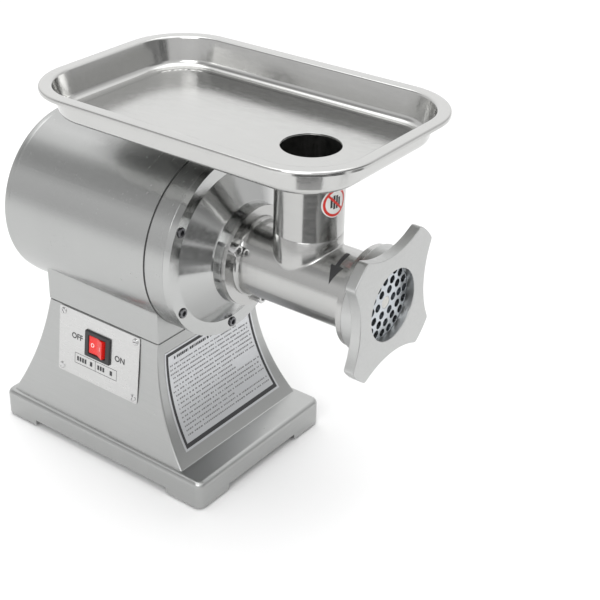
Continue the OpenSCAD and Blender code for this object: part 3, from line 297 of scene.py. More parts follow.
def moulded(name, tone, rough, grain=900, depth=0.05, **sockets):
    """Plastic, rubber or print: a fine moulded texture with a soft change of tone."""
    finish, tree, shader = new_finish(name, **sockets)
    texture = noise(tree, place(tree, (grain, grain, grain)), detail=3)
    cloud = noise(tree, place(tree, (30, 30, 30)), detail=2)
    body = blend_colours(tree, spread(tree, cloud, 0, 1), shade(tone, 0.88), shade(tone, 1.06))
    tree.links.new(body, shader.inputs["Base Color"])
    tree.links.new(spread(tree, texture, rough - 0.06, rough + 0.06), shader.inputs["Roughness"])
    bump = add_node(tree, "ShaderNodeBump", Strength=depth, Distance=0.0005, Height=texture)
    tree.links.new(bump.outputs[0], shader.inputs["Normal"])
    return finish


def make_finishes(tones):
    """Every finish, under the name of the material slot it stands for."""
    on_axis = {"centre": (0, 0, AXIS_Z), "around": "X"}
    upright = {"centre": (FEED_X, 0, 0), "around": "Z"}
    alu, steel = tuple(tones.aluminium), tuple(tones.stainless)
    rings = (1500, 1500, 1)
    return {
        "cast_body": metal("cast_body", alu, 0.33, (18, 18, 700), depth=0.07, clouds=0.03),
        "brushed_body": metal(
            "brushed_body", alu, 0.25, (1300, 1300, 1), **on_axis, depth=0.1, clouds=0.04, uneven=0.02
        ),
        "polished_cover": metal(
            "polished_cover", tuple(tones.polished), 0.15, rings, **on_axis, depth=0.04, clouds=0.03
        ),
        "sheet_steel": metal("sheet_steel", (0.52, 0.53, 0.54), 0.34, (30, 900, 900)),
        "head_steel": metal("head_steel", steel, 0.2, (1200, 1200, 1), **on_axis, depth=0.06, clouds=0.04),
        "feed_steel": metal("feed_steel", steel, 0.2, (900, 40, 1), **upright, depth=0.06, clouds=0.04),
        "tray_steel": metal("tray_steel", shade(steel, 1.14), 0.17, (40, 700, 40), depth=0.02, clouds=0.03),
        "ring_cast": metal("ring_cast", tuple(tones.nut), 0.36, (300, 300, 300), depth=0.04, clouds=0.03),
        "plate_steel": metal("plate_steel", (0.52, 0.55, 0.58), 0.24, rings, **on_axis, depth=0.1),
        "knife_steel": metal("knife_steel", (0.6, 0.61, 0.63), 0.22, (600, 60, 600)),
        "auger_cast": metal("auger_cast", (0.62, 0.61, 0.58), 0.38, (260, 260, 260), clouds=0.1),
        "switch_plate": metal(
            "switch_plate", (0.58, 0.58, 0.575), 0.3, (30, 30, 1400), depth=0.05, clouds=0.04
        ),
        "label_plate": metal(
            "label_plate", (0.62, 0.63, 0.645), 0.36, (1200, 30, 30), clouds=0.04, metallic=0.8
        ),
        "zinc_screws": metal("zinc_screws", (0.6, 0.6, 0.62), 0.3, (500, 500, 500)),
        "bright_screws": metal("bright_screws", (0.6, 0.6, 0.6), 0.18, (500, 500, 500)),
        "black_screws": metal("black_screws", (0.2, 0.2, 0.21), 0.36, (500, 500, 500)),
        "inner_casting": metal("inner_casting", (0.55, 0.55, 0.55), 0.5, (240, 240, 240)),
        "bearing_steel": metal("bearing_steel", (0.66, 0.67, 0.7), 0.2, rings, **on_axis),
        "core_steel": metal("core_steel", (0.36, 0.37, 0.4), 0.45, (2000, 2, 1), **on_axis),
        "shaft_steel": metal("shaft_steel", (0.58, 0.58, 0.6), 0.25, rings, **on_axis),
        "gear_steel": metal("gear_steel", (0.5, 0.5, 0.52), 0.34, (400, 400, 400)),
        "copper": metal("copper", (0.72, 0.33, 0.12), 0.35, (300, 300, 300)),
        "rubber": moulded("rubber", (0.035, 0.035, 0.036), 0.75),
        "gasket": moulded("gasket", (0.06, 0.06, 0.06), 0.7),
        "black_plastic": moulded("black_plastic", (0.016, 0.016, 0.017), 0.34),
        "fan_plastic": moulded("fan_plastic", (0.03, 0.03, 0.03), 0.45),
        "red_plastic": moulded("red_plastic", tuple(tones.rocker), 0.3, Coat_Weight=0.15),
        "cream_plastic": moulded("cream_plastic", (0.75, 0.7, 0.55), 0.42),
        "capacitor": moulded("capacitor", (0.07, 0.075, 0.09), 0.4),
        "wire": moulded("wire", (0.5, 0.03, 0.02), 0.4),
        "sticker": moulded("sticker", (0.86, 0.85, 0.83), 0.4),
        "black_print": moulded("black_print", tuple(tones.print_ink), 0.5),
        "grey_print": moulded("grey_print", (0.2, 0.2, 0.205), 0.5),
        "red_print": moulded("red_print", (0.7, 0.03, 0.02), 0.42),
    }


FINISHES = {}


# ---------------------------------------------------------------------------------------------
# Mesh work


def finish_piece(
    name, bm, body, slot, stands_for=(), edge=0.0, segments=2, angle=32, paint=None, sheet=0.0
):
    """Turns a bmesh into a finished piece: merged, smooth, with its edges rounded or its sheet thickened."""
    bmesh.ops.remove_doubles(bm, verts=bm.verts, dist=WELD)
    if not sheet:
        bmesh.ops.recalc_face_normals(bm, faces=bm.faces)
    for face in bm.faces:
        face.smooth = True
    mesh = bpy.data.meshes.new(name)
    bm.to_mesh(mesh)
    bm.free()
    piece = bpy.data.objects.new(name, mesh)
    bpy.context.scene.collection.objects.link(piece)
    mesh.materials.append(FINISHES[paint or slot])
    if sheet:
        wall = piece.modifiers.new("Sheet", "SOLIDIFY")
        wall.thickness, wall.offset, wall.use_even_offset = sheet, -1, True
    if edge:
        rounding = piece.modifiers.new("Edges", "BEVEL")
        rounding.width, rounding.segments, rounding.limit_method = edge, segments, "ANGLE"
        rounding.angle_limit = math.radians(angle)
        rounding.use_clamp_overlap = True
        rounding.harden_normals = False
        evener = piece.modifiers.new("Faces", "WEIGHTED_NORMAL")
        evener.keep_sharp = True
    else:
        mesh.set_sharp_from_angle(angle=math.radians(angle))
    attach(piece, body)
    if stands_for:
        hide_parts(*stands_for)
    return piece


def turned(points, bm=None, upright=False, steps=160):
    """A closed outline of (place along the axis, radius), turned about the motor axis or the feed tube's."""
    bm = bm or bmesh.new()
    if upright:
        outline = [bm.verts.new((FEED_X + radius, 0, along)) for along, radius in points]
        centre, axis = (FEED_X, 0, 0), (0, 0, 1)
    else:
        outline = [bm.verts.new((along, 0, AXIS_Z + radius)) for along, radius in points]
        centre, axis = (0, 0, AXIS_Z), (1, 0, 0)
    edges = [bm.edges.new(pair) for pair in zip(outline, outline[1:] + outline[:1])]
    bmesh.ops.spin(
        bm, geom=outline + edges, cent=centre, axis=axis, angle=math.tau, steps=steps, use_merge=True
    )
    return bm


def stacked(bm, stations, segments, closed=False, caps=(True, True)):
    """Bridges loops up the Z axis. Each has a height and a radius, which may follow the angle.

    The loops are bridged one unit apart and put in place afterwards, so that level loops join squarely.
    """
    rings, loops = [], []
    for index in range(len(stations)):
        level = Matrix.Translation((0, 0, index))
        ring = bmesh.ops.create_circle(bm, segments=segments, radius=1, matrix=level)["verts"]
        rings.append(ring)
        loops.append(list({edge for point in ring for edge in point.link_edges}))
    pairs = list(zip(loops, loops[1:]))
    if closed:
        pairs.append((loops[-1], loops[0]))
    for first, second in pairs:
        bmesh.ops.bridge_loops(bm, edges=first + second)
    if not closed:
        for edges, wanted in ((loops[0], caps[0]), (loops[-1], caps[1])):
            if wanted:
                bmesh.ops.contextual_create(bm, geom=edges)
    for (height, radius), ring in zip(stations, rings):
        for point in ring:
            turn = math.atan2(point.co.y, point.co.x)
            reach = radius(turn) if callable(radius) else radius
            level = height(turn) if callable(height) else height
            point.co = (point.co.x * reach, point.co.y * reach, level)
    return [point for ring in rings for point in ring]


def rounded_face(bm, length, width, radius, height, centre=0.0, segments=6):
    """A level rectangle with round corners."""
    known = set(bm.faces)
    spot = Matrix.Translation((centre, 0, height)) @ Matrix.Diagonal((length, width, 1, 1))
    corners = patch(bm, spot)
    bmesh.ops.bevel(
        bm,
        geom=corners,
        offset=radius,
        offset_type="OFFSET",
        segments=segments,
        profile=0.5,
        affect="VERTICES",
        material=-1,
    )
    return next(face for face in bm.faces if face not in known)


def lofted(bm, rings, segments=6, caps=(True, True)):
    """Carries a rounded rectangle through rings of (length, width, radius, height, centre)."""
    faces = [rounded_face(bm, *ring, segments=segments) for ring in rings]
    points = [list(face.verts) for face in faces]
    for index, ring in enumerate(points):
        bmesh.ops.translate(bm, vec=(0, 0, index), verts=ring)
    edges = [list(face.edges) for face in faces]
    spare = faces[1 if caps[0] else 0 : -1 if caps[1] else None]
    bmesh.ops.delete(bm, geom=spare, context="FACES_ONLY")
    for first, second in zip(edges, edges[1:]):
        bmesh.ops.bridge_loops(bm, edges=first + second)
    for index, ring in enumerate(points):
        bmesh.ops.translate(bm, vec=(0, 0, -index), verts=ring)
    return edges


def push(bm, faces, move, keep=False):
    """Extrudes faces, and takes the old ones away unless they close the far side. Returns the new points."""
    made = bmesh.ops.extrude_face_region(bm, geom=faces)["geom"]
    if not keep:
        bmesh.ops.delete(bm, geom=faces, context="FACES")
    points = [part for part in made if isinstance(part, bmesh.types.BMVert)]
    bmesh.ops.translate(bm, vec=move, verts=points)
    return points


def patch(bm, spot, columns=1, rows=1):
    """A flat patch one unit wide, cut into columns and rows, put in place by a matrix. Returns its points."""
    points = bmesh.ops.create_grid(bm, x_segments=columns, y_segments=rows, size=0.5)["verts"]
    bmesh.ops.transform(bm, matrix=spot, verts=points)
    return points


def carve(piece, cutter):
    """Takes a cutter's bmesh out of a piece's mesh."""
    mesh = bpy.data.meshes.new("cutter")
    bmesh.ops.recalc_face_normals(cutter, faces=cutter.faces)
    cutter.to_mesh(mesh)
    cutter.free()
    tool = bpy.data.objects.new("cutter", mesh)
    bpy.context.scene.collection.objects.link(tool)
    cut = piece.modifiers.new("Cut", "BOOLEAN")
    cut.operation, cut.solver, cut.object = "DIFFERENCE", "EXACT", tool
    others = [m for m in piece.modifiers if m != cut]
    for other in others:
        other.show_viewport = False
    seen = piece.evaluated_get(bpy.context.evaluated_depsgraph_get())
    result = bpy.data.meshes.new_from_object(seen)
    piece.modifiers.remove(cut)
    for other in others:
        other.show_viewport = True
    piece.data = result
    bpy.data.objects.remove(tool)


def socket_head(bm, radius, height, spot):
    """A cap screw's head along +Z with a chamfered rim and a hexagon socket, put in place by a matrix."""
    flat = radius * 0.52

    def hexagon(turn):
        return flat / math.cos((turn + math.pi / 6) % (math.pi / 3) - math.pi / 6)

    lip = radius * 0.1
    stations = [
        (0, radius),
        (height - lip, radius),
        (height, radius - lip),
        (height, lambda turn: hexagon(turn) + lip / 2),
        (height - lip / 2, hexagon),
        (height * 0.45, hexagon),
    ]
    points = stacked(bm, stations, 48)
    bmesh.ops.transform(bm, matrix=spot, verts=points)


def on_circle(index, count, circle, face_x):
    """The place of one screw of a ring round the motor axis, with its +Z along +X."""
    turn = Matrix.Rotation(FIRST_SCREW + index * math.tau / count, 4, "X")
    return Matrix.Translation((face_x, 0, AXIS_Z)) @ turn @ Matrix.Translation((0, circle, 0)) @ TO_X


def ring_of_heads(bm, count, circle, face_x, radius, height):
    """Screw heads round the motor axis, standing on a face that looks along +X."""
    for index in range(count):
        socket_head(bm, radius, height, on_circle(index, count, circle, face_x))


def round_bar(bm, radius, depth, spot, segments=48):
    """A plain round bar along +Z, put in place by a matrix."""
    points = stacked(bm, [(0, radius), (depth, radius)], segments)
    bmesh.ops.transform(bm, matrix=spot, verts=points)


def flare(top, foot, radius, top_z, foot_z):
    """How far a flared side reaches at a height: an arc that bulges inwards."""
    upper, lower = Vector((top, top_z)), Vector((foot, foot_z))
    run = lower - upper
    across = Vector((-run.y, run.x)) / run.length
    centre = (upper + lower) / 2 + across * math.sqrt(radius**2 - run.length_squared / 4)
    return lambda z: centre.x - math.sqrt(radius**2 - (z - centre.y) ** 2)


def flares(sizes):
    """The pedestal's front, back and side, each as its reach at a height."""
    foot = sizes.slab_height
    return (
        flare(HOUSING[1].x, sizes.front_foot, sizes.front_flare, SEAM_Z, foot),
        flare(sizes.rear_top, sizes.rear_foot, sizes.rear_flare, SEAM_Z, foot),
        flare(sizes.side_top, sizes.side_foot, sizes.side_flare, SEAM_Z, foot),
    )


def switch_frame():
    """The switch plate's frame: X along it, Y up it and Z out of it, from its face at the rocker."""
    up = Vector(HINGE["axis"]).normalized()
    out = Vector((0, -up.z, up.y))
    origin = Vector(HINGE["pos_m"]) + out * 3 * MM
    return Matrix.Translation(origin) @ Matrix(
        ((1, up.x, out.x, 0), (0, up.y, out.y, 0), (0, up.z, out.z, 0), (0, 0, 0, 1))
    )


def lettering(words, height, spot):
    """Words as a thin mesh, centred on a matrix's origin and lying in its XY plane."""
    curve = bpy.data.curves.new("words", "FONT")
    curve.body, curve.size = words, height
    curve.align_x, curve.align_y = "CENTER", "CENTER"
    curve.extrude, curve.offset, curve.resolution_u = 0.00004, height * 0.022, 3
    carrier = bpy.data.objects.new("words", curve)
    bpy.context.scene.collection.objects.link(carrier)
    bpy.context.view_layer.update()
    mesh = bpy.data.meshes.new_from_object(carrier)
    mesh.transform(spot)
    bpy.data.objects.remove(carrier)
    return mesh


# ---------------------------------------------------------------------------------------------
# Pieces


class GRINDER_OT_finishes(bpy.types.Operator):
    """Makes the finishes and gives each CAD node its own"""

    bl_idname = "grinder.finishes"
    bl_label = "Finishes"

    def execute(self, context):
        FINISHES.update(make_finishes(context.scene.grinder_colours))
        slots = {part["node"]: part["material_slot"] for part in frame["record"]["subparts"]}
        for name, node in frame["nodes"].items():
            node.data.materials.clear()
            node.data.materials.append(FINISHES[slots[name]])
        for name, width in (("rear_cover", 0.6), ("rubber_feet", 0.6), ("cable_gland", 0.4)):
            node = frame["nodes"][name]
            joined = node.modifiers.new("Join", "WELD")
            joined.merge_threshold = NEAR
            rounding = node.modifiers.new("Edges", "BEVEL")
            rounding.width, rounding.segments = width * MM, 2
            rounding.limit_method, rounding.angle_limit = "ANGLE", math.radians(40)
        return {"FINISHED"}


class GRINDER_OT_base(bpy.types.Operator):
    """Builds the cast base: slab, corner pads and flared pedestal"""

    bl_idname = "grinder.base"
    bl_label = "Base"

    def execute(self, context):
        sizes = context.scene.grinder_sizes
        length, width = BASE[1].x - BASE[0].x, BASE[1].y - BASE[0].y
        arch_z = BASE[0].z + sizes.arch_height
        wall, edge, corner = sizes.cast_wall, sizes.slab_edge, sizes.slab_corner
        front, rear, side = flares(sizes)
        inner = (length - 2 * wall, width - 2 * wall, corner - 3 * MM)
        rings = [
            (*inner, sizes.slab_height - wall, 0),
            (*inner, arch_z, 0),
            (length, width, corner, arch_z, 0),
        ]
        for step in range(6):
            turn = step / 5 * math.pi / 2
            inset = edge * (1 - math.cos(turn))
            level = sizes.slab_height - edge * (1 - math.sin(turn))
            rings.append((length - 2 * inset, width - 2 * inset, corner - inset / 2, level, 0))
        steps = 18
        for step in range(steps + 1):
            z = sizes.slab_height + (SEAM_Z - sizes.slab_height) * step / steps
            reach = front(z), rear(z)
            rings.append(
                (sum(reach), 2 * side(z), sizes.upright_edge, z, (reach[0] - reach[1]) / 2)
            )
        # A groove under the motor's neck makes the seam.
        long, wide, radius, level, middle = rings.pop()
        groove, step_in = 1.2 * MM, 3 * MM
        neck = long - step_in, wide - step_in, radius / 2
        rings += [
            (long, wide, radius, level - groove, middle),
            (*neck, level - groove, middle),
            (*neck, level, middle),
        ]
        bm = bmesh.new()
        lofted(bm, rings, segments=5)
        for normal, reach in (((1, 0, 0), length / 2), ((0, 1, 0), width / 2)):
            for sign in (-1, 1):
                rim = self.rim(bm, arch_z)
                parts = {edge for face in rim for edge in face.edges}
                points = {point for face in rim for point in face.verts}
                spot = Vector(normal) * sign * (reach - sizes.pad_length)
                bmesh.ops.bisect_plane(
                    bm, geom=rim + list(parts) + list(points), plane_co=spot, plane_no=normal
                )
        pads = [
            face
            for face in self.rim(bm, arch_z)
            if abs(face.calc_center_median().x) > length / 2 - sizes.pad_length
            and abs(face.calc_center_median().y) > width / 2 - sizes.pad_length
        ]
        push(bm, pads, (0, 0, -sizes.arch_height))
        finish_piece(
            "base_shell", bm, "housing", "cast_body", ["base_casting"], edge=0.6 * MM, segments=3
        )
        return {"FINISHED"}

    @staticmethod
    def rim(bm, level):
        """The faces on the underside of the slab's rim."""
        return [
            face for face in bm.faces if all(abs(point.co.z - level) < NEAR for point in face.verts)
        ]


class GRINDER_OT_motor(bpy.types.Operator):
    """Builds the motor housing with its neck"""

    bl_idname = "grinder.motor"
    bl_label = "Motor housing"

    def execute(self, context):
        sizes = context.scene.grinder_sizes
        bm = bmesh.new()
        stations = HOUSING[0].x, -sizes.rear_top, HOUSING[1].x
        loop = bmesh.ops.create_circle(bm, cap_ends=False, segments=192, radius=MOTOR_R)["verts"]
        spot = Matrix.Translation((stations[0], 0, AXIS_Z)) @ Matrix.Rotation(math.pi / 2, 4, "Y")
        bmesh.ops.transform(bm, matrix=spot, verts=loop)
        edges = bm.edges[:]
        for start, end in zip(stations, stations[1:]):
            made = bmesh.ops.extrude_edge_only(bm, edges=edges)["geom"]
            points = [part for part in made if isinstance(part, bmesh.types.BMVert)]
            bmesh.ops.translate(bm, vec=(end - start, 0, 0), verts=points)
            edges = [part for part in made if isinstance(part, bmesh.types.BMEdge)]
        for sign in (-1, 1):
            bmesh.ops.bisect_plane(
                bm,
                geom=bm.verts[:] + bm.edges[:] + bm.faces[:],
                plane_co=(0, sign * sizes.side_top, 0),
                plane_no=(0, 1, 0),
            )
        under = [
            face
            for face in bm.faces
            if face.calc_center_median().z < AXIS_Z
            and face.calc_center_median().x > stations[1]
            and abs(face.calc_center_median().y) < sizes.side_top
        ]
        for point in push(bm, under, (0, 0, 0)):
            point.co.z = SEAM_Z
        bmesh.ops.recalc_face_normals(bm, faces=bm.faces)
        uprights = [
            edge
            for edge in bm.edges
            if all(abs(abs(p.co.y) - sizes.side_top) < NEAR for p in edge.verts)
            and abs(edge.verts[0].co.x - edge.verts[1].co.x) < 1e-6
            and abs(edge.verts[0].co.z - edge.verts[1].co.z) > 5 * MM
        ]
        bmesh.ops.bevel(
            bm,
            geom=uprights,
            offset=sizes.upright_edge,
            offset_type="OFFSET",
            segments=4,
            profile=0.5,
            affect="EDGES",
            material=-1,
        )
        self.close_ends(bm, stations)
        for sign in (-1, 1):
            self.fillet(bm, sizes, sign)
        finish_piece(
            "motor_shell", bm, "housing", "brushed_body", ["motor_housing"], edge=0.5 * MM, segments=2
        )
        return {"FINISHED"}

    @staticmethod
    def close_ends(bm, stations):
        """Closes the front, and sinks the back end so that the fan has room behind the cover."""
        open_edges = [edge for edge in bm.edges if edge.is_boundary]
        for x in (stations[0], stations[-1]):
            end = [e for e in open_edges if all(abs(p.co.x - x) < NEAR for p in e.verts)]
            made = bmesh.ops.contextual_create(bm, geom=end)["faces"]
            if x == stations[0]:
                bmesh.ops.inset_individual(bm, faces=made, thickness=5 * MM, use_even_offset=True)
                push(bm, made, (46 * MM, 0, 0))

    @staticmethod
    def fillet(bm, sizes, sign):
        """A soft fillet between the side of the neck and the round of the motor."""
        radius, side = sizes.neck_fillet, sizes.side_top
        centre = Vector((side + radius, -math.sqrt((MOTOR_R + radius) ** 2 - (side + radius) ** 2)))
        touch = centre - centre.normalized() * radius
        start = math.pi
        end = math.atan2(touch.y - centre.y, touch.x - centre.x)
        arc = [
            centre + Vector((math.cos(a), math.sin(a))) * radius
            for a in (start + (end - start) * step / 6 for step in range(7))
        ]
        arc = [arc[0] - Vector((1.5 * MM, 0)), *arc, arc[-1] - touch.normalized() * 1.5 * MM]
        x0 = -sizes.rear_top + 2 * MM
        points = [bm.verts.new((x0, sign * p.x, AXIS_Z + p.y)) for p in arc]
        face = bm.faces.new(points)
        push(bm, [face], (HOUSING[1].x - 0.2 * MM - x0, 0, 0), keep=True)


class GRINDER_OT_gear_case(bpy.types.Operator):
    """Builds the gear case, the cover with its cone, and the cover's screws"""

    bl_idname = "grinder.gear_case"
    bl_label = "Gear case and cover"

    def execute(self, context):
        sizes = context.scene.grinder_sizes
        outer = GEAR_CASE[1].y
        ring = [(GEAR_CASE[0].x, outer - 9 * MM), (GEAR_CASE[0].x, outer), (GEAR_CASE[1].x, outer),
                (GEAR_CASE[1].x, outer - 9 * MM)]
        finish_piece(
            "gear_case_ring", turned(ring), "housing", "brushed_body", ["gear_case"], edge=0.6 * MM
        )
        flange_x = GEAR_CASE[1].x
        cone_x = flange_x + sizes.cover_flange
        collar_x = cone_x + sizes.cone_length
        cone_r, collar_r = sizes.cone_radius, sizes.collar_radius
        outline = [
            (flange_x, cone_r - 8 * MM),
            (flange_x, outer),
            (cone_x, outer),
            (cone_x, cone_r),
            (collar_x, collar_r + 1.5 * MM),
            (collar_x + 1.5 * MM, collar_r),
            (HEAD_X, collar_r),
            (HEAD_X, 38 * MM),
            (collar_x - 2 * MM, 38 * MM),
        ]
        cover = finish_piece(
            "cover_shell", turned(outline), "housing", "polished_cover", ["front_cover"],
            edge=0.7 * MM, segments=3, angle=25,
        )
        recess = 3 * MM
        cutter = bmesh.new()
        for index in range(sizes.cover_screws):
            spot = on_circle(index, sizes.cover_screws, sizes.screw_circle, cone_x - recess)
            round_bar(cutter, 5.6 * MM, 2 * recess, spot)
        carve(cover, cutter)
        heads = bmesh.new()
        ring_of_heads(heads, sizes.cover_screws, sizes.screw_circle, cone_x - recess, 5 * MM, 5 * MM)
        finish_piece("cover_screw_heads", heads, "housing", "black_screws", ["cover_screws"], angle=28)
        return {"FINISHED"}


class GRINDER_OT_head(bpy.types.Operator):
    """Builds the grinding head: flange, barrel, thread, feed boss, feed tube and bolts"""

    bl_idname = "grinder.head"
    bl_label = "Grinding head"

    def execute(self, context):
        sizes = context.scene.grinder_sizes
        flange_front = HEAD_X + sizes.head_flange
        barrel, nose = sizes.barrel_radius, sizes.nose_radius
        thread_x = HEAD[1].x - sizes.thread_length
        nose_x = thread_x - sizes.nose_length
        chamber = PLATE[1].y + 0.4 * MM
        outline = [
            (HEAD[0].x, 22 * MM), (HEAD[0].x, 40 * MM), (HEAD_X, 40 * MM),
            (HEAD_X, sizes.head_flange_radius),
            (flange_front, sizes.head_flange_radius), (flange_front, barrel + 3 * MM),
            (flange_front + 2 * MM, barrel + 3 * MM), (flange_front + 2.6 * MM, barrel + 1.6 * MM),
            (flange_front + 4 * MM, barrel + 0.5 * MM), (flange_front + 7 * MM, barrel),
            (nose_x - 5 * MM, barrel), (nose_x - 2 * MM, barrel + 0.7 * MM),
            (nose_x - 0.4 * MM, barrel + 2.4 * MM),
            (nose_x, barrel + 5 * MM), (nose_x, nose), (thread_x, nose),
        ]
        pitch = sizes.thread_length / 6
        for turn in range(6):
            outline += [
                (thread_x + (turn + 0.1) * pitch, sizes.thread_radius - 1.1 * MM),
                (thread_x + (turn + 0.45) * pitch, sizes.thread_radius),
                (thread_x + (turn + 0.65) * pitch, sizes.thread_radius),
            ]
        outline += [
            (HEAD[1].x, sizes.thread_radius - 1.1 * MM), (HEAD[1].x, chamber),
            (PLATE[0].x - 10 * MM, chamber),
            (PLATE[0].x - 10 * MM, sizes.barrel_bore), (flange_front - 1 * MM, sizes.barrel_bore),
            (flange_front - 1 * MM, 22 * MM),
        ]
        body = finish_piece(
            "head_body", turned(outline), "housing", "head_steel", ["grinder_head"], edge=0.5 * MM, angle=38
        )
        cutter = bmesh.new()
        bore = FEED_R - sizes.feed_wall
        round_bar(cutter, bore + 0.2 * MM, 60 * MM, Matrix.Translation((FEED_X, 0, AXIS_Z)), 96)
        carve(body, cutter)
        self.boss(sizes, bore)
        tube = [(FEED[0].z, bore), (FEED[0].z, FEED_R), (FEED[1].z, FEED_R), (FEED[1].z, bore)]
        finish_piece(
            "feed_tube_shell", turned(tube, upright=True, steps=128), "housing", "head_steel",
            ["feed_tube"], edge=0.35 * MM, paint="feed_steel",
        )
        heads = bmesh.new()
        circle = sizes.head_flange_radius - 6.5 * MM
        ring_of_heads(heads, 3, circle, flange_front, 6.3 * MM, 7.6 * MM)
        finish_piece("head_bolt_heads", heads, "housing", "bright_screws", ["head_bolts"], angle=28)
        return {"FINISHED"}

    @staticmethod
    def boss(sizes, bore):
        """The boss under the feed tube, with a soft fillet where it saddles the barrel."""
        fillet = sizes.saddle_fillet

        def on_barrel(radius, reach, lift=0.0):
            return lambda turn: lift + math.sqrt(max(reach**2 - (radius * math.sin(turn)) ** 2, 0))

        low = on_barrel(FEED_R + fillet, sizes.barrel_radius, -0.1 * MM)
        joint = on_barrel(FEED_R, sizes.barrel_radius)
        stations = []
        for step in range(7):
            part = step / 6
            weights = (1 - part) ** 2, 2 * part * (1 - part), part**2

            def height(turn, weights=weights):
                levels = low(turn), joint(turn), joint(turn) + fillet * 1.4
                return AXIS_Z + sum(w * level for w, level in zip(weights, levels))

            stations.append((height, FEED_R + weights[0] * fillet))
        inner = on_barrel(bore, sizes.barrel_bore + 2 * MM)
        stations += [
            (FEED[0].z - 0.4 * MM, FEED_R),
            (FEED[0].z, FEED_R - 0.4 * MM),
            (FEED[0].z, bore),
            (lambda turn: AXIS_Z + inner(turn), bore),
        ]
        bm = bmesh.new()
        points = stacked(bm, stations, 128, closed=True)
        bmesh.ops.translate(bm, vec=(FEED_X, 0, 0), verts=points)
        finish_piece("feed_boss", bm, "housing", "head_steel", angle=45, paint="feed_steel")


class GRINDER_OT_ring_nut(bpy.types.Operator):
    """Builds the ring nut with its four lobes, and the grinding plate"""

    bl_idname = "grinder.ring_nut"
    bl_label = "Ring nut and plate"

    def execute(self, context):
        sizes = context.scene.grinder_sizes
        hollow_at = sizes.waist_radius + sizes.hollow_radius
        softness = 0.0035

        def lobed(turn):
            """The lobes' outline: a circle less four hollows, with the corners rounded."""
            around = (turn + math.pi / 4) % (math.pi / 2) - math.pi / 4
            reach = hollow_at * math.cos(around)
            span = reach**2 - hollow_at**2 + sizes.hollow_radius**2
            hollow = reach - math.sqrt(span) if span > 0 else 2 * sizes.lobe_radius
            blend = max(softness - abs(hollow - sizes.lobe_radius), 0) / softness
            return min(hollow, sizes.lobe_radius) - blend**2 * softness / 4

        turn = math.radians(47 + 45)
        thick = sizes.lobe_thickness
        step_z = PLATE[1].x - (NUT[1].x - thick)
        chamber = PLATE[1].y + 0.4 * MM
        stations = [
            (0, lobed), (thick, lobed), (thick, sizes.aperture), (step_z, sizes.aperture),
            (step_z, chamber), (0, chamber),
        ]
        bm = bmesh.new()
        points = stacked(bm, stations, 320, closed=True)
        spot = Matrix.Translation((NUT[1].x - thick, 0, AXIS_Z)) @ Matrix.Rotation(turn, 4, "X")
        spot = spot @ Matrix(((0, 0, 1, 0), (1, 0, 0, 0), (0, 1, 0, 0), (0, 0, 0, 1)))
        bmesh.ops.transform(bm, matrix=spot, verts=points)
        hub = sizes.waist_radius - 0.5 * MM
        inner = sizes.thread_radius + 0.3 * MM
        turned(
            [
                (NUT[0].x, inner), (NUT[0].x, hub - 1 * MM), (NUT[0].x + 1 * MM, hub),
                (NUT[1].x - thick + 1 * MM, hub), (NUT[1].x - thick + 1 * MM, chamber),
                (HEAD[1].x + 0.5 * MM, chamber), (HEAD[1].x + 0.5 * MM, inner),
            ],
            bm,
        )
        finish_piece(
            "ring_nut_shell", bm, "ring_nut", "ring_cast", ["ring_nut"], edge=1.3 * MM, segments=3, angle=40
        )
        self.plate(sizes)
        return {"FINISHED"}

    @staticmethod
    def plate(sizes):
        """The grinding plate, with its rings of holes."""
        bm = bmesh.new()
        flat = Matrix.Rotation(math.pi / 2, 4, "Y")
        bmesh.ops.create_circle(bm, segments=160, radius=PLATE[1].y, matrix=flat)
        bmesh.ops.create_circle(bm, segments=48, radius=6.1 * MM, matrix=flat)
        for circle, count in ((13, 6), (22.8, 12), (32.3, 18)):
            for index in range(count):
                turn = Matrix.Rotation(math.radians(5) + index * math.tau / count, 4, "X")
                spot = turn @ Matrix.Translation((0, circle * MM, 0)) @ flat
                bmesh.ops.create_circle(bm, segments=32, radius=sizes.plate_hole, matrix=spot)
        made = bmesh.ops.triangle_fill(bm, use_beauty=True, use_dissolve=False, edges=bm.edges[:])["geom"]
        faces = [part for part in made if isinstance(part, bmesh.types.BMFace)]
        push(bm, faces, (PLATE[1].x - PLATE[0].x, 0, 0), keep=True)
        bmesh.ops.translate(bm, vec=(PLATE[0].x, 0, AXIS_Z), verts=bm.verts)
        finish_piece("plate_disc", bm, "plate", "plate_steel", ["grinding_plate"], edge=0.35 * MM)


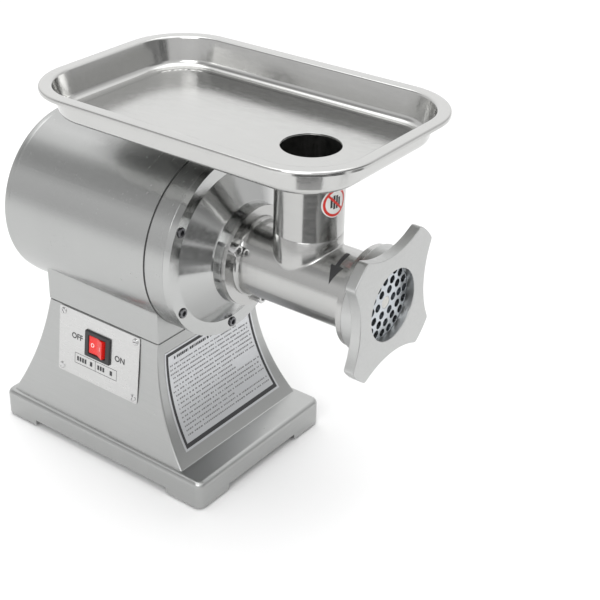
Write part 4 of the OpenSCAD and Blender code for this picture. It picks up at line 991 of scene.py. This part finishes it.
class GRINDER_OT_tray(bpy.types.Operator):
    """Builds the meat tray and its spout"""

    bl_idname = "grinder.tray"
    bl_label = "Tray"

    def execute(self, context):
        sizes = context.scene.grinder_sizes
        length, width = TRAY[1].x - TRAY[0].x, TRAY[1].y - TRAY[0].y
        rim_z, floor_z = TRAY[1].z, TRAY[0].z + sizes.sheet
        soft, lip = 2.2 * MM, 4.5 * MM
        profile = [(0, rim_z - lip), (0, rim_z - soft)]
        for step in range(1, 5):
            turn = step / 4 * math.pi / 2
            profile.append((soft * (1 - math.cos(turn)), rim_z - soft * (1 - math.sin(turn))))
        shoulder = 3 * MM
        flat_end = sizes.rim_width - shoulder
        profile.append((flat_end, rim_z))
        for step in range(1, 5):
            turn = step / 4 * math.radians(78)
            profile.append((flat_end + shoulder * math.sin(turn), rim_z - shoulder * (1 - math.cos(turn))))
        foot = sizes.rim_width + sizes.wall_lean
        fillet = sizes.floor_fillet - sizes.sheet
        for step in range(8):
            turn = math.radians(80) * (1 - step / 7)
            inset = foot + fillet * (1 - math.sin(turn))
            profile.append((inset, floor_z + 0.7 * MM + fillet * (1 - math.cos(turn))))
        profile += [(foot + fillet + 5 * MM, floor_z + 0.7 * MM), (foot + fillet + 6.2 * MM, floor_z)]
        rings = [
            (length - 2 * inset, width - 2 * inset, sizes.rim_corner - inset, level, TRAY_MID)
            for inset, level in profile
        ]
        bm = bmesh.new()
        edges = lofted(bm, rings, segments=20, caps=(False, False))
        hole = bmesh.ops.create_circle(
            bm,
            segments=96,
            radius=SPOUT[1].y - 2 * MM,
            matrix=Matrix.Translation((FEED_X, 0, floor_z)),
        )["verts"]
        rim = {edge for point in hole for edge in point.link_edges}
        bmesh.ops.triangle_fill(bm, use_beauty=True, use_dissolve=False, edges=edges[-1] + list(rim))
        bmesh.ops.remove_doubles(bm, verts=bm.verts, dist=WELD)
        bmesh.ops.recalc_face_normals(bm, faces=bm.faces)
        floor = next(f for f in bm.faces if all(abs(p.co.z - floor_z) < 1e-6 for p in f.verts))
        if floor.normal.z < 0:
            bmesh.ops.reverse_faces(bm, faces=bm.faces)
        finish_piece(
            "tray_pan", bm, "tray", "tray_steel", ["tray"], edge=0.3 * MM, angle=50, sheet=sizes.sheet
        )
        reach, bore, low, high = SPOUT[1].y, SPOUT[1].y - 2 * MM, SPOUT[0].z, SPOUT[1].z
        wall = [(low, bore), (low, reach), (high - 0.1 * MM, reach), (high - 0.1 * MM, bore)]
        finish_piece(
            "tray_spout_tube", turned(wall, upright=True, steps=128), "tray", "tray_steel",
            ["tray_spout"], edge=0.4 * MM,
        )
        return {"FINISHED"}


class GRINDER_OT_switch(bpy.types.Operator):
    """Builds the switch plate, its screws, the bezel, the rocker and their print"""

    bl_idname = "grinder.switch"
    bl_label = "Switch"

    def execute(self, context):
        sizes = context.scene.grinder_sizes
        local = switch_frame()
        up = Vector(HINGE["axis"]).normalized()
        height = (SWITCH[1].z - SWITCH[0].z) / up.z
        length = SWITCH[1].x - SWITCH[0].x
        middle = ((SWITCH[0].z + SWITCH[1].z) / 2 - HINGE["pos_m"][2]) / up.z
        on_plate = local @ Matrix.Translation((0, middle, 0))
        bm = bmesh.new()
        lofted(bm, [(length, height, 2.5 * MM, -1 * MM, 0), (length, height, 2.5 * MM, 0, 0)])
        bmesh.ops.transform(bm, matrix=on_plate, verts=bm.verts)
        finish_piece(
            "switch_plate_sheet", bm, "housing", "switch_plate", ["switch_plate"], edge=0.3 * MM
        )
        self.screws(on_plate, length, height)
        self.bezel(sizes, local)
        self.rocker(local)
        self.print_on_plate(sizes, local)
        return {"FINISHED"}

    @staticmethod
    def screws(on_plate, length, height):
        """Four slotted screws with low domed heads."""
        x, y = length / 2 - 6 * MM, height / 2 - 6 * MM
        spots = [
            on_plate @ Matrix.Translation(corner) @ Matrix.Rotation(0.5 + index * 0.9, 4, "Z")
            for index, corner in enumerate(((-x, -y, 0), (x, -y, 0), (-x, y, 0), (x, y, 0)))
        ]
        bm = bmesh.new()
        dome = [(0, 3.9), (0.6, 3.8), (1.1, 3.2), (1.4, 2.2)]
        for spot in spots:
            points = stacked(bm, [(z * MM, r * MM) for z, r in dome], 40)
            bmesh.ops.transform(bm, matrix=spot, verts=points)
        piece = finish_piece(
            "switch_screw_heads", bm, "housing", "zinc_screws", ["switch_plate_screws"], angle=30,
            paint="bright_screws",
        )
        slots = bmesh.new()
        slot = Matrix.Translation((0, 0, 1.2 * MM)) @ Matrix.Diagonal((9 * MM, 1.1 * MM, 1.4 * MM, 1))
        for spot in spots:
            bmesh.ops.create_cube(slots, size=1, matrix=spot @ slot)
        carve(piece, slots)

    @staticmethod
    def bezel(sizes, local):
        """The black bezel and the well that the rocker sits in."""
        long, high = sizes.bezel_length, sizes.bezel_height
        rings = [
            (long, high, 1.6 * MM, 0, 0),
            (long, high, 1.6 * MM, 1.6 * MM, 0),
            (long - 1.6 * MM, high - 1.6 * MM, 1 * MM, 2.5 * MM, 0),
            (25.4 * MM, 22.4 * MM, 1 * MM, 2.5 * MM, 0),
            (24.2 * MM, 21.2 * MM, 0.6 * MM, 1.2 * MM, 0),
            (24.2 * MM, 21.2 * MM, 0.6 * MM, -9 * MM, 0),
        ]
        bm = bmesh.new()
        lofted(bm, rings, segments=4, caps=(False, True))
        bmesh.ops.transform(bm, matrix=local, verts=bm.verts)
        finish_piece(
            "switch_bezel", bm, "housing", "black_plastic", ["switch_body"], edge=0.25 * MM, angle=28
        )

    @staticmethod
    def rocker(local):
        """The rocker, dished towards its middle, with its off side pressed in."""
        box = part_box("rocker")
        half, high = 11.2 * MM, (box[1].z - box[0].z) * 0.97

        def crest(u):
            return (4.3 + 2.5 * abs(u) ** 1.25) * MM

        steps = [-1 + i / 8 for i in range(17)]
        outline = [(u * half, crest(u)) for u in steps] + [(half, -2 * MM), (-half, -2 * MM)]
        bm = bmesh.new()
        face = bm.faces.new([bm.verts.new((u, -high / 2, w)) for u, w in outline])
        push(bm, [face], (0, high, 0), keep=True)
        pressed = Matrix.Rotation(math.radians(-10), 4, "Y")
        on_hinge = local @ Matrix.Translation((0, 0, -3 * MM)) @ pressed
        bmesh.ops.transform(bm, matrix=on_hinge, verts=bm.verts)
        finish_piece(
            "rocker_cap", bm, "rocker", "red_plastic", ["rocker"], edge=0.6 * MM, segments=3, angle=40
        )
        marks = bmesh.new()
        lift = 0.07 * MM
        u = 0.55
        slope = math.atan2(crest(u + 0.05) - crest(u - 0.05), 0.1 * half)
        left = Matrix.Translation((-u * half, 0, crest(u) + lift)) @ Matrix.Rotation(slope, 4, "Y")
        right = Matrix.Translation((u * half, 0, crest(u) + lift)) @ Matrix.Rotation(-slope, 4, "Y")
        ring = stacked(marks, [(0, 2.3 * MM), (0, 1.6 * MM)], 40, caps=(False, False))
        bmesh.ops.transform(marks, matrix=on_hinge @ left, verts=ring)
        patch(marks, on_hinge @ right @ Matrix.Diagonal((0.8 * MM, 4.6 * MM, 1, 1)))
        finish_piece("rocker_marks", marks, "rocker", "sticker")

    @staticmethod
    def print_on_plate(sizes, local):
        """The words beside the rocker and two ruled boxes under it."""
        lift = 0.06 * MM
        bm = bmesh.new()
        edge = sizes.bezel_length / 2
        for words, x, y in (("OFF", -edge - 13 * MM, 1 * MM), ("ON", edge + 13.5 * MM, -4 * MM)):
            mesh = lettering(words, 9.4 * MM, local @ Matrix.Translation((x, y, lift)))
            bm.from_mesh(mesh)
            bpy.data.meshes.remove(mesh)
        low, tall, rule = -sizes.bezel_height / 2 - 8.8 * MM, 6 * MM, 0.55 * MM
        bars = [(-2.9, low + side * tall, 62.3, rule / MM) for side in (-1, 1)]
        bars += [(x, low, rule / MM, 12.5) for x in (-34, -3.2, 28.2)]
        bars += [(x, low, 2.7, 5.4) for x in (-29.5, -25.7, -21.9, -18.1, 1.2, 5, 8.8)]
        bars += [(x, low, 3.6, 5.4) for x in (-9.5, 20)]
        for x, y, long, high in bars:
            spot = Matrix.Translation((x * MM, y, lift)) @ Matrix.Diagonal((long * MM, high * MM, 1, 1))
            patch(bm, local @ spot)
        finish_piece("switch_print", bm, "housing", "black_print")


class GRINDER_OT_labels(bpy.types.Operator):
    """Prints the plate on the pedestal's front and the sticker on the feed tube"""

    bl_idname = "grinder.labels"
    bl_label = "Labels"

    def execute(self, context):
        sizes = context.scene.grinder_sizes
        self.front_print(sizes)
        self.sticker_print()
        return {"FINISHED"}

    @staticmethod
    def front_print(sizes):
        """A ruled border with rows of short printed dashes, laid on the flare."""
        front = flares(sizes)[0]
        low, high = LABEL[0].z, LABEL[1].z
        foot, top = 81 * MM, 71 * MM
        bold, fine = bmesh.new(), bmesh.new()

        def print_patch(bm, y0, y1, z0, z1, cuts=1):
            """A patch in shares of the plate's width and in heights, bent onto the flare."""
            for point in patch(bm, Matrix.Identity(4), rows=cuts):
                z = z0 + (z1 - z0) * (point.co.y + 0.5)
                half = foot + (top - foot) * (z - low) / (high - low)
                y = (y0 + (y1 - y0) * (point.co.x + 0.5)) * half
                point.co = (front(z) + 0.55 * MM, y, z)

        margin, rule = 0.03, 3.8 * MM
        print_patch(bold, -1 + margin, 1 - margin, low + 2 * MM, low + 2 * MM + rule, 2)
        print_patch(bold, -1 + margin, 1 - margin, high - 2 * MM - rule, high - 2 * MM, 2)
        for side in (-1, 1):
            ends = sorted((side * (1 - margin), side * (1 - margin - 0.044)))
            print_patch(bold, *ends, low + 2 * MM, high - 2 * MM, 24)
        lines = random.Random(11)
        z = high - 12 * MM
        row = 0
        while z > low + 8 * MM:
            slope = abs(front(z + 1 * MM) - front(z - 1 * MM)) / (2 * MM)
            drop = 1 / math.hypot(1, slope)
            tall = (3.2 if row == 0 else 1.6) * MM * drop
            bullet = row and lines.random() < 0.3
            y = -0.86 if row else -0.8
            if bullet:
                print_patch(fine, y - 0.035, y - 0.012, z, z + tall, 1)
            end = 0.88 if lines.random() < 0.7 else lines.uniform(0.1, 0.7)
            while y < end:
                run = lines.uniform(0.014, 0.04)
                print_patch(fine if row else bold, y, min(y + run, 0.9), z, z + tall, 1)
                y += run + (0.011 if lines.random() < 0.75 else 0.032)
            z -= (6.4 if row == 0 else 4.9) * MM * drop
            row += 1
        finish_piece("front_plate_print", bold, "housing", "black_print")
        finish_piece("front_plate_rows", fine, "housing", "black_print", paint="grey_print")

    @staticmethod
    def sticker_print():
        """A red ring and bar over dark upright bars, wrapped round the feed tube."""
        middle = (STICKER[0].z + STICKER[1].z) / 2
        size = (STICKER[1].z - STICKER[0].z) / 2
        facing = math.radians(-10)

        def wrap(bm, reach):
            for point in bm.verts:
                turn = facing + point.co.x / FEED_R
                point.co = (
                    FEED_X + reach * math.cos(turn), reach * math.sin(turn), middle + point.co.y
                )

        red = bmesh.new()
        stacked(red, [(0, 0.93 * size), (0, 0.76 * size)], 64, caps=(False, False))
        slant = Matrix.Rotation(math.radians(-45), 4, "Z")
        patch(red, slant @ Matrix.Diagonal((1.56 * size, 0.15 * size, 1, 1)), columns=10)
        wrap(red, FEED_R + 0.52 * MM)
        finish_piece("sticker_ring", red, "housing", "sticker", paint="red_print")
        dark = bmesh.new()
        for x, low, high in ((-0.32, -0.3, 0.42), (-0.1, -0.42, 0.5), (0.12, -0.42, 0.46), (0.33, -0.36, 0.3)):
            spot = Matrix.Translation((x * size, (low + high) / 2 * size, 0))
            spot = spot @ Matrix.Diagonal((0.17 * size, (high - low) * size, 1, 1))
            patch(dark, spot, columns=2)
        wrap(dark, FEED_R + 0.46 * MM)
        finish_piece("sticker_bars", dark, "housing", "black_print")


# ---------------------------------------------------------------------------------------------
# Stage


CAMERA_AT = Vector((0.85104, -0.91540, 0.85947))
CAMERA_LOOKS_AT = Vector((0.11286, 0, 0.20002))
LENS = 77.82
SHIFT = 0.1028, -0.0051
# The studio's light by height, as the sine of the elevation and a brightness.
SKY = ((0.0, 0.55), (0.3, 0.6), (0.42, 0.62), (0.62, 0.62), (0.76, 0.9), (1.0, 0.9))
# Patches of it, as azimuth, elevation, reach and softness in degrees, and a brightness.
PATCHES = (
    (129, 31, 34, 12, 0.86),
    (-142, 41, 15, 6, 0.3),
    (-100, 40, 16, 8, 0.34),
    (20, 15, 22, 6, 0.2),
    (-8, 3, 11, 1.5, 0.12),
)
# Cards on the floor, as inner and outer reach from the feed tube, start and end in degrees, and a tone.
DARK_CARDS = ((0.42, 1.7, -74, -27, 0.1), (0.5, 1.5, 6, 26, 0.2), (0.62, 5, -26, -4, 0.1))


def softbox(name, spot, target, size, power):
    """A large soft area light that looks at a point."""
    lamp = bpy.data.lights.new(name, "AREA")
    lamp.shape, lamp.size, lamp.size_y, lamp.energy = "RECTANGLE", size[0], size[1], power
    holder = bpy.data.objects.new(name, lamp)
    holder.location = spot
    holder.rotation_euler = (Vector(target) - Vector(spot)).to_track_quat("-Z", "Y").to_euler()
    bpy.context.scene.collection.objects.link(holder)


class GRINDER_OT_stage(bpy.types.Operator):
    """Sets the floor, the studio light and the camera"""

    bl_idname = "grinder.stage"
    bl_label = "Stage"

    def execute(self, context):
        scene = context.scene
        tone = tuple(scene.grinder_colours.floor)
        bm = bmesh.new()
        half, drop = 30, 0.2 * MM
        patch(bm, Matrix.Translation((0, 0, -drop)) @ Matrix.Diagonal((2 * half, 2 * half, 1, 1)))
        mesh = bpy.data.meshes.new("floor")
        bm.to_mesh(mesh)
        bm.free()
        floor = bpy.data.objects.new("floor", mesh)
        scene.collection.objects.link(floor)
        finish, tree, shader = new_finish("floor", Roughness=0.9, Specular_IOR_Level=0.0)
        soft = noise(tree, place(tree, (3, 3, 3)), detail=2)
        tree.links.new(blend_colours(tree, soft, shade(tone, 0.99), tone), shader.inputs["Base Color"])
        mesh.materials.append(finish)

        self.cards()
        self.studio(scene)
        target = (0.08, 0, 0.25)
        softbox("key", (0.9, -2.1, 1.9), target, (1.6, 1.2), 24)
        softbox("top", (0.0, 0.1, 2.6), target, (2.2, 2.2), 22)

        lens = bpy.data.cameras.new("camera")
        lens.lens, lens.sensor_width = LENS, 36
        lens.shift_x, lens.shift_y = SHIFT
        lens.clip_start, lens.clip_end = 0.05, 50
        camera = bpy.data.objects.new("camera", lens)
        camera.location = CAMERA_AT
        camera.rotation_euler = (CAMERA_LOOKS_AT - CAMERA_AT).to_track_quat("-Z", "Y").to_euler()
        scene.collection.objects.link(camera)
        scene.camera = camera
        scene.view_settings.view_transform = "Standard"
        return {"FINISHED"}

    @staticmethod
    def cards():
        """Dark cards on the floor that only show in the metal's shine."""
        for index, (inner, outer, start, end, value) in enumerate(DARK_CARDS):
            bm = bmesh.new()
            turns = [math.radians(start + (end - start) * step / 8) for step in range(9)]
            near = [bm.verts.new((inner * math.cos(turn), inner * math.sin(turn), 0)) for turn in turns]
            far = [bm.verts.new((outer * math.cos(turn), outer * math.sin(turn), 0)) for turn in turns]
            bm.faces.new(near + far[::-1])
            bmesh.ops.translate(bm, vec=(FEED_X, 0, 0.002), verts=bm.verts)
            mesh = bpy.data.meshes.new(f"dark_card_{index}")
            bm.to_mesh(mesh)
            bm.free()
            card = bpy.data.objects.new(mesh.name, mesh)
            bpy.context.scene.collection.objects.link(card)
            dull, _, _ = new_finish(mesh.name, Base_Color=(value, value, value, 1), Roughness=1.0)
            mesh.materials.append(dull)
            for ray in ("camera", "diffuse", "shadow", "transmission", "volume_scatter"):
                setattr(card, f"visible_{ray}", False)

    @staticmethod
    def studio(scene):
        """The studio round the machine: soft light by height, with lighter and darker patches."""
        world = bpy.data.worlds.new("studio")
        world.use_nodes = True
        scene.world = world
        tree = world.node_tree
        ground = next(node for node in tree.nodes if node.type == "BACKGROUND")
        spot = add_node(tree, "ShaderNodeTexCoord").outputs["Generated"]
        level = add_node(tree, "ShaderNodeSeparateXYZ", Vector=spot).outputs["Z"]
        ramp = add_node(tree, "ShaderNodeValToRGB", Fac=level)
        steps = ramp.color_ramp.elements
        (steps[0].position, first), *middle, (steps[1].position, last) = SKY
        steps[0].color, steps[1].color = (first, first, first, 1), (last, last, last, 1)
        for position, value in middle:
            steps.new(position).color = (value, value, value, 1)
        tone = ramp.outputs[0]
        for turn, rise, reach, soft, value in PATCHES:
            turn, rise = math.radians(turn), math.radians(rise)
            way = (math.cos(turn) * math.cos(rise), math.sin(turn) * math.cos(rise), math.sin(rise))
            near = add_node(tree, "ShaderNodeVectorMath", {"operation": "DOT_PRODUCT"}, i0=spot, i1=way)
            edges = [math.cos(math.radians(angle)) for angle in (reach + soft, reach - soft)]
            part = spread(tree, near.outputs["Value"], 0, 1, *edges)
            tone = blend_colours(tree, part, tone, (value, value, value))
        seen = add_node(tree, "ShaderNodeLightPath").outputs["Is Camera Ray"]
        tree.links.new(blend_colours(tree, seen, tone, (0.7, 0.7, 0.7)), ground.inputs["Color"])
        ground.inputs["Strength"].default_value = 1.45


class GRINDER_PT_panel(bpy.types.Panel):
    """Lists the grinder's pieces"""

    bl_idname = "GRINDER_PT_panel"
    bl_label = "Meat Grinder"
    bl_space_type = "VIEW_3D"
    bl_region_type = "UI"
    bl_category = "Grinder"

    def draw(self, context):
        for group in (context.scene.grinder_sizes, context.scene.grinder_colours):
            box = self.layout.box()
            for name in group.__annotations__:
                box.prop(group, name)
        for step in STEPS:
            self.layout.operator(step.bl_idname)


STEPS = (
    GRINDER_OT_finishes,
    GRINDER_OT_base,
    GRINDER_OT_motor,
    GRINDER_OT_gear_case,
    GRINDER_OT_head,
    GRINDER_OT_ring_nut,
    GRINDER_OT_tray,
    GRINDER_OT_switch,
    GRINDER_OT_labels,
    GRINDER_OT_stage,
)
CLASSES = (GrinderSizes, GrinderColours, *STEPS, GRINDER_PT_panel)


def register():
    """Registers the add-on's classes and its settings."""
    for item in CLASSES:
        bpy.utils.register_class(item)
    bpy.types.Scene.grinder_sizes = PointerProperty(type=GrinderSizes)
    bpy.types.Scene.grinder_colours = PointerProperty(type=GrinderColours)


def unregister():
    """Takes the settings and the classes out again."""
    del bpy.types.Scene.grinder_colours
    del bpy.types.Scene.grinder_sizes
    for item in reversed(CLASSES):
        bpy.utils.unregister_class(item)


def main():
    """Builds every piece in order."""
    register()
    for step in STEPS:
        group, name = step.bl_idname.split(".")
        getattr(getattr(bpy.ops, group), name)()


if __name__ == "__main__":
    main()
